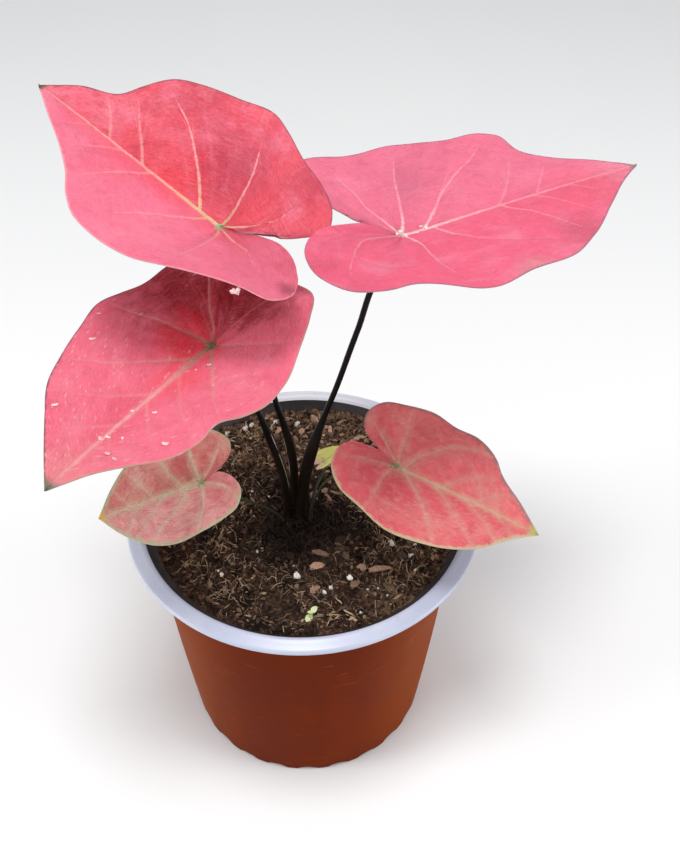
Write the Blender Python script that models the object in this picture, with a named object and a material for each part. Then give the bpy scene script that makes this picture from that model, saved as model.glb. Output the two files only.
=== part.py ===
"""Caladium in a plastic nursery pot.

Five shield-shaped leaves stand on sheathed stalks that rise from a tuber in potting mix.
A young leaf and a seedling stand beside them, in a thin tapered pot with a notched foot.

Sizes below are in millimetres. The origin is at the middle of the pot's foot, +Z is up and
the front of the plant faces -Y. Heights marked "over the rim" start at the pot's top.
"""
import math
import random

import bmesh
import bpy
import numpy as np
from mathutils import Matrix, Vector

MM = 0.001
GAP = 0.3

# Pot
POT_HEIGHT = 130.0
RIM_RADIUS = 80.0
RIM_INNER_RADIUS = 73.4
LIP_DEPTH = 3.2
SHOULDER_RADIUS = 69.1
SHOULDER_DROP = 6.0
FOOT_RADIUS = 58.9
WALL_BULGE = 0.9
WALL = 1.3
WALL_STEPS = 4
FOOT_RING = 5.0
FOOT_EDGE = 1.0
FLOOR_HEIGHT = 3.0
FLOOR_CORNER = (2.5, 4.0)
PAD_RADIUS = 6.0
PAD_DRAFT = 1.0
PAD_SIDES = 9
NOTCH_COUNT = 24
NOTCH_WIDTH = 7.0
NOTCH_HEIGHT = 1.9
NOTCH_REACH = (4.0, 6.0)
NOTCH_TURN = math.radians(1.0)
DRAIN_COUNT = 8
DRAIN_RADIUS = 4.5
DRAIN_CIRCLE = 36.0
POT_SEGMENTS = 48
HOLE_SEGMENTS = 12

# The rim's section from its underside round to its inner edge, which stands a little higher, as
# (beyond the rim's outer or inner radius, over POT_HEIGHT)
SHOULDER_FLARE = (2.4, 2.2)
RIM_SECTION = [(-3.2, 0.3 - LIP_DEPTH), (-1.4, -LIP_DEPTH), (-0.3, 0.7 - LIP_DEPTH),
               (0.0, 1.6 - LIP_DEPTH), (-0.5, -0.8), (-1.8, -0.2)]
RIM_INNER_SECTION = [(1.1, 1.2), (0.2, 1.0), (-0.8, -0.6)]

# Potting mix and tuber
SOIL_DROP = 6.0
SOIL_RELIEF = 0.77
SOIL_SLOPE = 0.03
SOIL_SEGMENTS = 40
SOIL_RINGS = (0.9, 0.78, 0.66, 0.54, 0.42, 0.3, 0.18)
SOIL_EDGE = (1.2, 3.0)
RELIEF_FADE = 8.0
CROWN = (-3.2, 0.6)
CROWN_FLAT = 15.0
CHIP_COUNT = 34
CHIP_SEED = 7
CHIP_SPACING = 7.0
CHIP_LENGTH = (4.0, 8.0)
CHIP_WIDTH = (2.2, 3.6)
CHIP_THICKNESS = 3.0
CHIP_TILT = 0.3
GRAIN_RADIUS = (1.5, 2.1)
GRAIN_HEIGHT = 1.6
HOLE_ABOVE = 3.0
HOLE_BELOW = 1.0
TUBER_RADIUS = 23.0
TUBER_DEPTH = 16.0
TUBER_HEIGHT = 27.0
TUBER_SEGMENTS = 20

# Waves in the top of the mix, as (turn per mm along X, along Y, start, share)
LUMPS = [(0.21, 0.17, 2.9, 0.5), (0.21, -0.17, 2.1, 0.5), (0.43, -0.31, 0.0, 0.6),
         (0.52, 0.37, 2.0, 0.5)]

# The tuber's section below its flat crown, as (share of the radius, share of the height), and
# its unevenness in plan, as (waves round it, start, share)
TUBER_SHAPE = [(0.55, 0.0), (0.82, 0.12), (0.97, 0.32), (1.0, 0.52), (0.86, 0.76), (0.5, 0.94)]
TUBER_LUMPS = [(3, 0.5, 0.05), (5, 0.0, 0.03)]

# Leaves
BLADE = 0.8
VEIN_ARCH = 0.12
VEIN_START = 15.0
VEIN_SPREAD = 1.2
FOLD_ROUND = 0.05
LOBE_ROUND = 0.04
RIPPLES = 3.5
RIPPLE_START = 0.15
SHEATH_TAPER = 12.0
SMALL_STALK = 1.0

# Each leaf has its hub (where the stalk meets the blade, over the rim), the blade's facing
# and heading, its length from hub to tip, and how it bends: fold lifts the halves off the
# midrib, arch lowers the tip, cross lowers the sides, lobe_lift and lobe_drop bend the lobes.
# The margin runs from the notch between the lobes to the tip, once on each side of the
# midrib, as (along the midrib, across it).
LEAVES = {
    "upper_left": {
        "hub": (-27.1, -0.9, 146.6),
        "facing": (0.25, -0.33, 0.91),
        "heading": (-0.77, 0.50, 0.39),
        "length": 88.0,
        "fold": 0.50, "arch": 0.02, "cross": 0.12, "lobe_lift": 0.30, "lobe_drop": 0.10,
        "wave": 0.8,
        "notch": (-11, -4),
        "left": [(-16, -5), (-21, -5.6), (-30, -3), (-37, 4), (-40, 14), (-37, 22), (-27, 25),
                 (-14, 30), (-2, 36), (7, 43), (16, 46), (28, 45), (37, 39), (48, 28),
                 (57, 21), (72, 11)],
        "right": [(-16, -6.6), (-26, -11), (-32, -18), (-29, -23.5), (-18, -31), (-7, -35),
                  (4, -40), (14, -43), (27, -40), (41, -35), (51, -30), (58, -22), (62, -16),
                  (76, -9)],
        "stalk": [(-4, 6.4, -6), (-4.2, 6.4, 12), (-5, 5.6, 28), (-7.4, 4, 44), (-10.9, 2, 62),
                  (-16.6, 11.5, 98), (-19.6, 14.2, 118)],
        "stalk_radius": 1.4, "sheath_radius": 2.2, "sheath_top": 45, "neck": 8,
        "lines": 24, "steps": 5,
    },
    "upper_right": {
        "hub": (38.3, 2.3, 141.6),
        "facing": (-0.03, -0.03, 1.0),
        "heading": (0.88, 0.47, 0.04),
        "length": 108.5,
        "fold": 0.20, "arch": 0.02, "cross": 0.06, "lobe_lift": 0.45, "lobe_drop": 0.20,
        "wave": 0.8,
        "notch": (-12, 7.4),
        "left": [(-19, 13.5), (-23, 20), (-25, 29), (-23, 39), (-17, 45), (-7, 47.5), (8, 48),
                 (22, 49), (32, 46), (44, 41.5), (60, 40), (66, 37), (69, 26), (78, 17),
                 (95, 8)],
        "right": [(-20, 6), (-32, 2.5), (-42, -8), (-48, -20), (-50, -36), (-45, -47),
                  (-35, -49), (-20, -45), (-4, -45), (8, -49), (24, -47), (40, -48),
                  (55, -40), (78, -22), (96, -8)],
        "stalk": [(-1.2, 0.2, -6), (-0.9, 0.3, 2), (0.4, 0.8, 14), (3.2, 1.6, 29), (6.8, 2.2, 43),
                  (14.9, 2.7, 69), (23, 2.8, 98), (31, 2.7, 124)],
        "stalk_radius": 1.4, "sheath_radius": 3.0, "sheath_top": 43, "neck": 8,
        "lines": 24, "steps": 5,
    },
    "middle": {
        "hub": (-31.8, -19.2, 106.8),
        "facing": (-0.05, -0.07, 1.0),
        "heading": (-0.61, -0.79, -0.09),
        "length": 82.4,
        "fold": 0.33, "arch": 0.03, "cross": 0.12, "lobe_lift": 0.20, "lobe_drop": 0.06,
        "wave": 0.8,
        "notch": (-28, -8.5),
        "left": [(-30.5, -7.8), (-34, -5.8), (-37.2, -1.5), (-38.6, 5), (-38.3, 12),
                 (-36, 20), (-24, 29), (-8, 36.5), (8, 42.5), (20, 44), (27, 41), (33, 35),
                 (42, 35), (52, 31), (61, 21), (70, 10)],
        "right": [(-30, -10.6), (-33.5, -13.8), (-36.5, -18.5), (-36.6, -23.5), (-33, -28),
                  (-27, -32), (-16, -36), (-4, -37), (5, -40), (14, -43), (27, -40),
                  (42, -34), (53, -29), (62, -21), (72, -11)],
        "stalk": [(-7.6, 0.8, -6), (-7.5, -0.4, 8), (-8.6, -2.4, 22), (-11, -4.8, 37),
                  (-13.7, -7.3, 51), (-16.6, -9.7, 64), (-22.5, -14, 84)],
        "stalk_radius": 1.2, "sheath_radius": 2.2, "sheath_top": 58, "neck": 8,
        "lines": 30, "steps": 5,
    },
    "lower_left": {
        "hub": (-39.8, -28.0, 43.3),
        "facing": (-0.30, -0.63, 0.72),
        "heading": (-0.91, -0.03, -0.41),
        "length": 50.6,
        "fold": 0.56, "arch": 0.03, "cross": 0.03, "lobe_lift": 0.30, "lobe_drop": 0.0,
        "wave": 0.4,
        "notch": (-8, -1.8),
        "left": [(-12, 0), (-16, 3.5), (-19, 10), (-17, 15.5), (-10, 18.5), (2, 20.5), (12, 22),
                 (22, 20), (33, 14.5), (43, 7)],
        "right": [(-12, -3), (-17, -5.2), (-20, -10), (-16, -15.5), (-8, -18.5), (4, -20),
                  (16, -19), (28, -15.5), (38, -10)],
        "stalk": [(-9.5, -4.5, -6), (-10.8, -5.7, -2), (-15.5, -9.3, 7), (-21.4, -14, 16),
                  (-27.5, -18.5, 25)],
        "stalk_radius": 0.8, "sheath_radius": 1.3, "sheath_top": 0, "neck": 6,
        "lines": 16, "steps": 4,
    },
    "lower_right": {
        "hub": (39.6, -15.9, 41.0),
        "facing": (0.15, -0.20, 0.97),
        "heading": (0.91, -0.36, -0.21),
        "length": 65.1,
        "fold": 0.14, "arch": 0.04, "cross": 0.06, "lobe_lift": 0.12, "lobe_drop": 0.15,
        "wave": 0.4,
        "notch": (-9, 3.4),
        "left": [(-14, 6), (-19, 10), (-21, 17), (-17, 25), (-7, 29), (5, 32), (17, 29.5),
                 (27, 29), (37, 24), (42, 18), (54, 9)],
        "right": [(-15, 3), (-22, 1), (-25, -5), (-24, -14), (-17, -23), (-5, -28), (8, -32),
                  (20, -31), (32, -28), (43, -21.5), (55, -9)],
        "stalk": [(3.2, -3.6, -6), (3.4, -3.4, 1), (5.4, -3.4, 8), (10, -4, 19), (20, -7.5, 29)],
        "stalk_radius": 0.7, "sheath_radius": 1.2, "sheath_top": 0, "neck": 6,
        "lines": 16, "steps": 4,
    },
    "young": {
        "hub": (9.0, 20.0, 8.0),
        "facing": (-0.35, -0.45, 0.82),
        "heading": (0.80, 0.30, 0.45),
        "length": 13.0,
        "fold": 0.35, "arch": 0.0, "cross": 0.0, "lobe_lift": 0.2, "lobe_drop": 0.0,
        "wave": 0.0,
        "notch": (-2.2, 0),
        "left": [(-4.5, 1), (-5.5, 3.2), (-3.5, 5.2), (1, 5.6), (6, 4)],
        "right": [(-4.5, -1), (-5.5, -3.2), (-3.5, -5.2), (1, -5.6), (6, -4)],
        "stalk": [(3.4, 5.4, -6), (4, 6.9, -2), (6, 12, 1)],
        "stalk_radius": 0.6, "sheath_radius": 0.9, "sheath_top": 0, "neck": 3,
        "lines": 8, "steps": 3,
    },
}

SEEDLING_SPOT = (4.9, -56.0)
SEEDLING_HEIGHT = 4.0
SEEDLING_DEPTH = 2.5
SEEDLING_STEM = 0.5
SEEDLING_KNOT = 0.9
SEEDLING_LEAF = (2.6, 1.7, 0.6)
SEEDLING_TURNS = (0.35, 2.5, 4.6)
SEEDLING_TILT = 0.3
SEEDLING_CLEAR = 7.0

# Colours, as red, green and blue from 0 to 255
COLOURS = {
    "pot": ((142, 66, 40), 0.42),
    "soil": ((62, 42, 32), 0.95),
    "tuber": ((120, 84, 58), 0.85),
    "leaf_upper_left": ((232, 96, 108), 0.45),
    "leaf_upper_right": ((234, 110, 130), 0.45),
    "leaf_middle": ((226, 92, 110), 0.45),
    "leaf_lower_left": ((196, 100, 98), 0.45),
    "leaf_lower_right": ((206, 92, 100), 0.45),
    "leaf_young": ((184, 190, 96), 0.5),
    "stalk": ((38, 28, 24), 0.35),
    "stalk_small": ((126, 128, 104), 0.5),
    "seedling": ((150, 190, 60), 0.5),
}


def clear_scene():
    """Remove every object, so the script starts from nothing."""
    for item in list(bpy.data.objects):
        bpy.data.objects.remove(item, do_unlink=True)


def linear(channel):
    """Turn a screen colour channel into a linear one."""
    value = channel / 255.0
    return value / 12.92 if value <= 0.04045 else ((value + 0.055) / 1.055) ** 2.4


def finish(name):
    """Make the named plain finish."""
    colour, roughness = COLOURS[name]
    material = bpy.data.materials.get(name)
    if material:
        return material
    material = bpy.data.materials.new(name)
    material.use_nodes = True
    shader = material.node_tree.nodes["Principled BSDF"]
    shader.inputs["Base Color"].default_value = (*[linear(c) for c in colour], 1.0)
    shader.inputs["Roughness"].default_value = roughness
    shader.inputs["Metallic"].default_value = 0.0
    return material


def add_object(name, mesh_maker, finish_name, smooth_angle=None):
    """Turn a bmesh, in millimetres, into a named object with its finish."""
    bmesh.ops.scale(mesh_maker, vec=Vector((MM, MM, MM)), verts=mesh_maker.verts)
    mesh = bpy.data.meshes.new(name)
    mesh_maker.to_mesh(mesh)
    mesh_maker.free()
    if smooth_angle is not None:
        mesh.shade_smooth()
        mesh.set_sharp_from_angle(angle=math.radians(smooth_angle))
    item = bpy.data.objects.new(name, mesh)
    bpy.context.scene.collection.objects.link(item)
    item.data.materials.append(finish(finish_name))
    return item


def hide_cutter(item):
    """Mark an object as a cutter that isn't part of the model."""
    item.hide_render = True
    item.display_type = "WIRE"


def combine(item, other, operation="DIFFERENCE"):
    """Cut an object out of another, or join it on, with a live Boolean."""
    modifier = item.modifiers.new(other.name, "BOOLEAN")
    modifier.operation = operation
    modifier.solver = "EXACT"
    modifier.object = other


def smooth_line(points, count):
    """Give count points, evenly spaced, on a smooth curve through the given ones."""
    knots = np.array(points, float)
    spans = np.linalg.norm(np.diff(knots, axis=0), axis=1)
    at = np.concatenate([[0.0], np.cumsum(spans)])
    slopes = np.gradient(knots, at, axis=0)
    fine = np.linspace(0.0, at[-1], 40 * len(knots))
    k = np.clip(np.searchsorted(at, fine, side="right") - 1, 0, len(knots) - 2)
    span = (at[k + 1] - at[k])[:, None]
    u = (fine - at[k])[:, None] / span
    curve = ((2 * u**3 - 3 * u**2 + 1) * knots[k] + (u**3 - 2 * u**2 + u) * span * slopes[k]
             + (3 * u**2 - 2 * u**3) * knots[k + 1] + (u**3 - u**2) * span * slopes[k + 1])
    run = np.concatenate([[0.0], np.cumsum(np.linalg.norm(np.diff(curve, axis=0), axis=1))])
    wanted = np.linspace(0.0, run[-1], count)
    return np.stack([np.interp(wanted, run, column) for column in curve.T], axis=1)


def leaf_axes(leaf):
    """Give a leaf's hub, midrib direction, sideways direction and facing."""
    facing = Vector(leaf["facing"]).normalized()
    heading = Vector(leaf["heading"])
    heading = (heading - heading.dot(facing) * facing).normalized()
    hub = Vector(leaf["hub"]) + Vector((0.0, 0.0, POT_HEIGHT))
    return hub, heading, facing.cross(heading), facing


def blade_height(leaf, along, across):
    """Give how far the blade stands off its own plane."""
    length = leaf["length"]
    a = along / length
    b = across / length
    lobe = 0.5 * (np.sqrt(a**2 + LOBE_ROUND**2) - a)
    rise = leaf["fold"] * (np.sqrt(b**2 + FOLD_ROUND**2) - FOLD_ROUND)
    rise -= leaf["arch"] * np.clip(a, 0.0, None) ** 2
    rise -= leaf["cross"] * b**2
    rise += leaf["lobe_lift"] * (lobe - 0.5 * LOBE_ROUND)
    rise -= leaf["lobe_drop"] * lobe**2
    return rise * length


def vein_roots(leaf, margins):
    """Give the places on the midrib that the vein lines start from."""
    length = leaf["length"]
    start = VEIN_START * length / 87.0
    reach = np.mean([margin[:, 0] for margin in margins], axis=0)
    share = np.clip((reach - start) / (length - start), 0.0, 1.0)
    return length * np.maximum.accumulate(share) ** VEIN_SPREAD


def blade_grid(leaf, side_sign, margin, roots):
    """Lay points along vein lines from the midrib to the margin, on one side."""
    lines, steps = leaf["lines"], leaf["steps"]
    start = np.stack([roots, np.zeros_like(roots)], axis=1)
    reach = np.linalg.norm(margin - start, axis=1)
    middle = 0.5 * (start + margin) - VEIN_ARCH * reach[:, None] * np.array([1.0, 0.0])
    t = np.linspace(0.0, 1.0, steps + 1)[None, :, None]
    spots = ((1 - t)**2 * start[:, None] + 2 * t * (1 - t) * middle[:, None]
             + t**2 * margin[:, None])
    along, across = spots[..., 0], spots[..., 1]
    turn = np.linspace(0.0, 1.0, lines + 1)[:, None]
    wave = np.sin(2 * math.pi * (RIPPLES * turn + RIPPLE_START * side_sign))
    ripple = leaf["wave"] * wave * np.sin(math.pi * turn)
    height = blade_height(leaf, along, across) + ripple * t[..., 0]**3
    return along, across, height


def add_half(mesh_maker, leaf, side_sign, grid):
    """Add one half of a blade as triangles that face the blade's way."""
    hub, heading, sideways, facing = leaf_axes(leaf)
    along, across, height = grid
    rows, columns = along.shape
    spots = [[mesh_maker.verts.new(hub + heading * along[i, j] + sideways * across[i, j]
                                   + facing * height[i, j])
              for j in range(columns)] for i in range(rows)]
    for i in range(rows - 1):
        for j in range(columns - 1):
            ring = [spots[i][j], spots[i + 1][j], spots[i + 1][j + 1], spots[i][j + 1]]
            for triangle in (ring[:3], [ring[0], ring[2], ring[3]]):
                mesh_maker.faces.new(triangle if side_sign > 0 else triangle[::-1])


def make_blade(name, leaf, finish_name):
    """Make one leaf blade: a thin sheet split alike on both faces."""
    count = leaf["lines"] + 1
    tip = (leaf["length"], 0.0)
    sides = {1: leaf["left"], -1: leaf["right"]}
    margins = {s: smooth_line([leaf["notch"], *sides[s], tip], count) for s in sides}
    roots = vein_roots(leaf, list(margins.values()))
    mesh_maker = bmesh.new()
    for s in sides:
        add_half(mesh_maker, leaf, s, blade_grid(leaf, s, margins[s], roots))
    bmesh.ops.remove_doubles(mesh_maker, verts=mesh_maker.verts, dist=0.05)
    item = add_object(name, mesh_maker, finish_name, smooth_angle=60)
    thick = item.modifiers.new("thickness", "SOLIDIFY")
    thick.thickness = BLADE * MM
    thick.offset = -1.0
    return item


def ring_points(centre, direction, radius, sides, previous_side):
    """Give a ring of points round a centre, square to a direction."""
    side = (previous_side - previous_side.dot(direction) * direction).normalized()
    other = direction.cross(side)
    angles = [2 * math.pi * k / sides for k in range(sides)]
    return [centre + radius * (math.cos(v) * side + math.sin(v) * other) for v in angles], side


def add_tube(mesh_maker, path, radii, sides, last_direction=None):
    """Add a closed tapering tube along a path."""
    side = Vector((1.0, 0.0, 0.0))
    rings = []
    for k, spot in enumerate(path):
        ahead = path[min(k + 1, len(path) - 1)] - path[max(k - 1, 0)]
        if k == 0:
            ahead = Vector((0.0, 0.0, 1.0))
        if k == len(path) - 1 and last_direction:
            ahead = last_direction
        points, side = ring_points(spot, ahead.normalized(), radii[k], sides, side)
        rings.append([mesh_maker.verts.new(p) for p in points])
    for low, high in zip(rings, rings[1:]):
        for k in range(sides):
            n = (k + 1) % sides
            mesh_maker.faces.new((low[k], low[n], high[n], high[k]))
    mesh_maker.faces.new(rings[0][::-1])
    mesh_maker.faces.new(rings[-1])


def stalk_radius_at(leaf, height):
    """Give a stalk's radius at a height over the rim: wide in its sheath, slim above."""
    swell = min(max((leaf["sheath_top"] - height) / SHEATH_TAPER + 0.5, 0.0), 1.0)
    swell = swell * swell * (3 - 2 * swell)
    return leaf["stalk_radius"] + (leaf["sheath_radius"] - leaf["stalk_radius"]) * swell


def stalk_path(leaf, count):
    """Give points up a stalk, from the tuber to just under the blade."""
    hub, _, _, facing = leaf_axes(leaf)
    end = hub - facing * (BLADE + GAP)
    neck = hub - facing * leaf["neck"]
    lifted = [Vector(p) + Vector((0.0, 0.0, POT_HEIGHT)) for p in leaf["stalk"]]
    above = smooth_line([tuple(p) for p in [*lifted, neck, end]], count)
    below = Vector((lifted[0].x, lifted[0].y, tuber_top() + GAP))
    return [below] + [Vector(p) for p in above]


def make_stalk(name, leaf, finish_name, sides, count):
    """Make one stalk with its sheath."""
    path = stalk_path(leaf, count)
    radii = [stalk_radius_at(leaf, p.z - POT_HEIGHT) for p in path]
    mesh_maker = bmesh.new()
    add_tube(mesh_maker, path, radii, sides, leaf_axes(leaf)[3])
    return add_object(name, mesh_maker, finish_name, smooth_angle=50)


def tuber_top():
    """Give the height of the tuber's flat crown."""
    return POT_HEIGHT - SOIL_DROP - TUBER_DEPTH


def lathe(profile, segments, shift=(0.0, 0.0), reshape=None):
    """Turn a profile of (radius, height) that starts and ends on the axis."""
    mesh_maker = bmesh.new()
    rings = []
    for radius, height in profile:
        ring = []
        for k in range(1 if radius == 0 else segments):
            angle = 2 * math.pi * k / segments
            spot = Vector((radius * math.cos(angle), radius * math.sin(angle), height))
            if reshape:
                spot = reshape(spot)
            ring.append(mesh_maker.verts.new(spot + Vector((*shift, 0.0))))
        rings.append(ring)
    for low, high in zip(rings, rings[1:]):
        for k in range(segments):
            n = (k + 1) % segments
            corners = [low[k % len(low)], low[n % len(low)], high[n % len(high)],
                       high[k % len(high)]]
            mesh_maker.faces.new(list(dict.fromkeys(corners)))
    bmesh.ops.recalc_face_normals(mesh_maker, faces=mesh_maker.faces)
    return mesh_maker


def outer_radius(height):
    """Give the pot wall's outer radius at a height."""
    share = height / (POT_HEIGHT - SHOULDER_DROP)
    bulge = 4 * WALL_BULGE * share * (1 - share)
    return FOOT_RADIUS + (SHOULDER_RADIUS - FOOT_RADIUS) * share + bulge


def wall_heights(low, high):
    """Give the few heights that carry the wall's slight bulge."""
    return np.linspace(low, high, WALL_STEPS)


def pot_profile():
    """Give the pot's section: under the floor, up the outside, over the rim, down inside."""
    shoulder = POT_HEIGHT - SHOULDER_DROP
    ring_inner = FOOT_RADIUS - FOOT_RING
    inner_floor = FLOOR_HEIGHT + WALL
    corner_inset, corner_height = FLOOR_CORNER
    profile = [(0, FLOOR_HEIGHT), (ring_inner - PAD_DRAFT, FLOOR_HEIGHT), (ring_inner, 0)]
    profile += [(FOOT_RADIUS - FOOT_EDGE, 0)]
    profile += [(outer_radius(z), z) for z in wall_heights(FOOT_EDGE, shoulder)]
    profile += [(SHOULDER_RADIUS + SHOULDER_FLARE[0], shoulder + SHOULDER_FLARE[1])]
    profile += [(RIM_RADIUS + out, POT_HEIGHT + up) for out, up in RIM_SECTION]
    profile += [(RIM_INNER_RADIUS + out, POT_HEIGHT + up) for out, up in RIM_INNER_SECTION]
    inside = wall_heights(inner_floor + corner_height, shoulder)[::-1]
    profile += [(outer_radius(z) - WALL, z) for z in inside]
    profile += [(outer_radius(inner_floor) - WALL - corner_inset, inner_floor), (0, inner_floor)]
    return profile


def notch_cutter():
    """Make the shallow channels that notch the foot."""
    inner = FOOT_RADIUS - FOOT_RING - NOTCH_REACH[0]
    outer = FOOT_RADIUS + NOTCH_REACH[1]
    pitch = 2 * math.pi / NOTCH_COUNT
    mesh_maker = bmesh.new()
    for k in range(NOTCH_COUNT):
        middle = k * pitch + NOTCH_TURN
        corners = []
        for radius, side in ((inner, -1), (outer, -1), (outer, 1), (inner, 1)):
            angle = middle + side * 0.5 * NOTCH_WIDTH / radius
            corners.append((radius * math.cos(angle), radius * math.sin(angle), -1.0))
        mesh_maker.faces.new([mesh_maker.verts.new(corner) for corner in corners])
    raised = bmesh.ops.extrude_face_region(mesh_maker, geom=mesh_maker.faces[:])
    tops = [v for v in raised["geom"] if isinstance(v, bmesh.types.BMVert)]
    bmesh.ops.translate(mesh_maker, verts=tops, vec=(0, 0, 1.0 + NOTCH_HEIGHT))
    bmesh.ops.recalc_face_normals(mesh_maker, faces=mesh_maker.faces)
    return mesh_maker


def drain_cutter():
    """Make the round plugs that cut the drainage holes."""
    mesh_maker = bmesh.new()
    for k in range(DRAIN_COUNT):
        angle = 2 * math.pi * (k + 0.5) / DRAIN_COUNT
        x, y = DRAIN_CIRCLE * math.cos(angle), DRAIN_CIRCLE * math.sin(angle)
        place = Matrix.Translation((x, y, FLOOR_HEIGHT + 0.5 * WALL))
        bmesh.ops.create_cone(mesh_maker, cap_ends=True, segments=HOLE_SEGMENTS,
                              radius1=DRAIN_RADIUS, radius2=DRAIN_RADIUS, depth=3 * WALL,
                              matrix=place)
    return mesh_maker


def support_pad():
    """Make the low pad under the middle of the floor, which stands as deep as the foot."""
    mesh_maker = bmesh.new()
    depth = FLOOR_HEIGHT + 0.5 * WALL
    bmesh.ops.create_cone(mesh_maker, cap_ends=True, segments=PAD_SIDES, radius1=PAD_RADIUS,
                          radius2=PAD_RADIUS + PAD_DRAFT, depth=depth,
                          matrix=Matrix.Translation((0, 0, 0.5 * depth)))
    return mesh_maker


def make_pot():
    """Make the pot: one thin moulding with a rolled rim and a notched foot."""
    pot = add_object("pot", lathe(pot_profile(), POT_SEGMENTS), "pot", smooth_angle=40)
    for name, maker, operation in (("foot_notches", notch_cutter(), "DIFFERENCE"),
                                   ("drain_holes", drain_cutter(), "DIFFERENCE"),
                                   ("floor_pad", support_pad(), "UNION")):
        other = add_object(name, maker, "pot")
        hide_cutter(other)
        combine(pot, other, operation)
    return pot


def soil_profile():
    """Give the potting mix's section, a gap clear of the pot."""
    top = POT_HEIGHT - SOIL_DROP
    floor = FLOOR_HEIGHT + WALL + GAP
    edge = outer_radius(top) - WALL - GAP
    edge_inset, edge_height = SOIL_EDGE
    corner_inset, corner_height = FLOOR_CORNER
    profile = [(0, floor), (outer_radius(floor) - WALL - corner_inset - 2 * GAP, floor)]
    low, high = floor + corner_height + GAP, top - edge_height
    profile += [(outer_radius(z) - WALL - GAP, z) for z in wall_heights(low, high)]
    profile += [(edge - edge_inset, top)]
    profile += [(edge * share, top) for share in SOIL_RINGS]
    return profile + [(0, top)]


def soil_relief(spot):
    """Slope the top of the mix up to the back, and make it uneven but for crown and edge."""
    top = POT_HEIGHT - SOIL_DROP
    if spot.z < top:
        return spot
    x, y = spot.x, spot.y
    from_crown = math.hypot(x - CROWN[0], y - CROWN[1]) - CROWN_FLAT
    from_wall = outer_radius(top) - WALL - math.hypot(x, y)
    fade = [min(max(reach / RELIEF_FADE, 0.0), 1.0) for reach in (from_crown, from_wall)]
    waves = [share * math.sin(a * x + b * y + start) for a, b, start, share in LUMPS]
    rise = SOIL_SLOPE * y + SOIL_RELIEF * fade[0] * fade[1] * sum(waves)
    return Vector((x, y, spot.z + rise))


def chip_spots(rng):
    """Draw places for the chips, clear of the wall, the crown, the seedling and each other."""
    limit = outer_radius(POT_HEIGHT - SOIL_DROP) - WALL - CHIP_SPACING
    keep_off = [(*CROWN, CROWN_FLAT + 0.5 * CHIP_SPACING), (*SEEDLING_SPOT, SEEDLING_CLEAR)]
    spots = []
    while len(spots) < CHIP_COUNT:
        x, y = rng.uniform(-limit, limit), rng.uniform(-limit, limit)
        near = [math.hypot(x - a, y - b) < r for a, b, r in keep_off]
        near += [math.hypot(x - a, y - b) < CHIP_SPACING for a, b in spots]
        if math.hypot(x, y) < limit and not any(near):
            spots.append((x, y))
    return spots


def add_chips():
    """Place bark chips and coarse grains, sunk in the top of the mix."""
    rng = random.Random(CHIP_SEED)
    chips = bpy.data.collections.new("chips")
    bpy.context.scene.collection.children.link(chips)
    for k, (x, y) in enumerate(chip_spots(rng)):
        mesh_maker = bmesh.new()
        surface = soil_relief(Vector((x, y, POT_HEIGHT - SOIL_DROP)))
        turn = Matrix.Rotation(rng.uniform(0, math.pi), 4, "Z")
        tilt = Matrix.Rotation(rng.uniform(-CHIP_TILT, CHIP_TILT), 4, "X")
        if k % 3:
            sizes = (rng.uniform(*CHIP_LENGTH), rng.uniform(*CHIP_WIDTH), CHIP_THICKNESS)
            bmesh.ops.create_cube(mesh_maker, size=1.0)
        else:
            radius = rng.uniform(*GRAIN_RADIUS)
            sizes = (radius, radius, GRAIN_HEIGHT)
            bmesh.ops.create_icosphere(mesh_maker, subdivisions=1, radius=1.0)
        size = Matrix.Diagonal((*sizes, 1.0))
        place = Matrix.Translation(surface) @ turn @ tilt @ size
        bmesh.ops.transform(mesh_maker, matrix=place, verts=mesh_maker.verts)
        item = add_object(f"chip_{k:02d}", mesh_maker, "soil")
        bpy.context.scene.collection.objects.unlink(item)
        chips.objects.link(item)
    return chips


def union_collection(item, collection):
    """Fuse a collection's objects into an object and remove them."""
    modifier = item.modifiers.new("fuse", "BOOLEAN")
    modifier.operation = "UNION"
    modifier.solver = "EXACT"
    modifier.operand_type = "COLLECTION"
    modifier.collection = collection
    bpy.context.view_layer.objects.active = item
    bpy.ops.object.modifier_apply(modifier=modifier.name)
    for part in list(collection.objects):
        bpy.data.objects.remove(part, do_unlink=True)
    bpy.data.collections.remove(collection)


def tuber_profile(extra):
    """Give the tuber's section, or with extra room the pocket that it lies in."""
    top = tuber_top() + extra
    r = TUBER_RADIUS + extra
    h = TUBER_HEIGHT + 2 * extra
    return [(0, top)] + [(r * a, top - h * b) for a, b in TUBER_SHAPE] + [(0, top - h)]


def lumpy(spot):
    """Make a turned shape a little uneven in plan."""
    angle = math.atan2(spot.y, spot.x)
    swell = 1 + sum(share * math.sin(n * angle + start) for n, start, share in TUBER_LUMPS)
    return Vector((spot.x * swell, spot.y * swell, spot.z))


def hole_cutter():
    """Make the plugs that cut the plain holes for the stalks and the seedling."""
    mesh_maker = bmesh.new()
    surface = POT_HEIGHT - SOIL_DROP
    plugs = [(leaf["stalk"][0][:2], leaf["sheath_radius"], tuber_top() - HOLE_BELOW)
             for leaf in LEAVES.values()]
    plugs.append((SEEDLING_SPOT, SEEDLING_STEM, surface - SEEDLING_DEPTH - 2 * HOLE_BELOW))
    for (x, y), radius, low in plugs:
        high = surface + HOLE_ABOVE
        place = Matrix.Translation((x, y, 0.5 * (low + high)))
        bmesh.ops.create_cone(mesh_maker, cap_ends=True, segments=HOLE_SEGMENTS,
                              radius1=radius + GAP, radius2=radius + GAP, depth=high - low,
                              matrix=place)
    return mesh_maker


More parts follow.
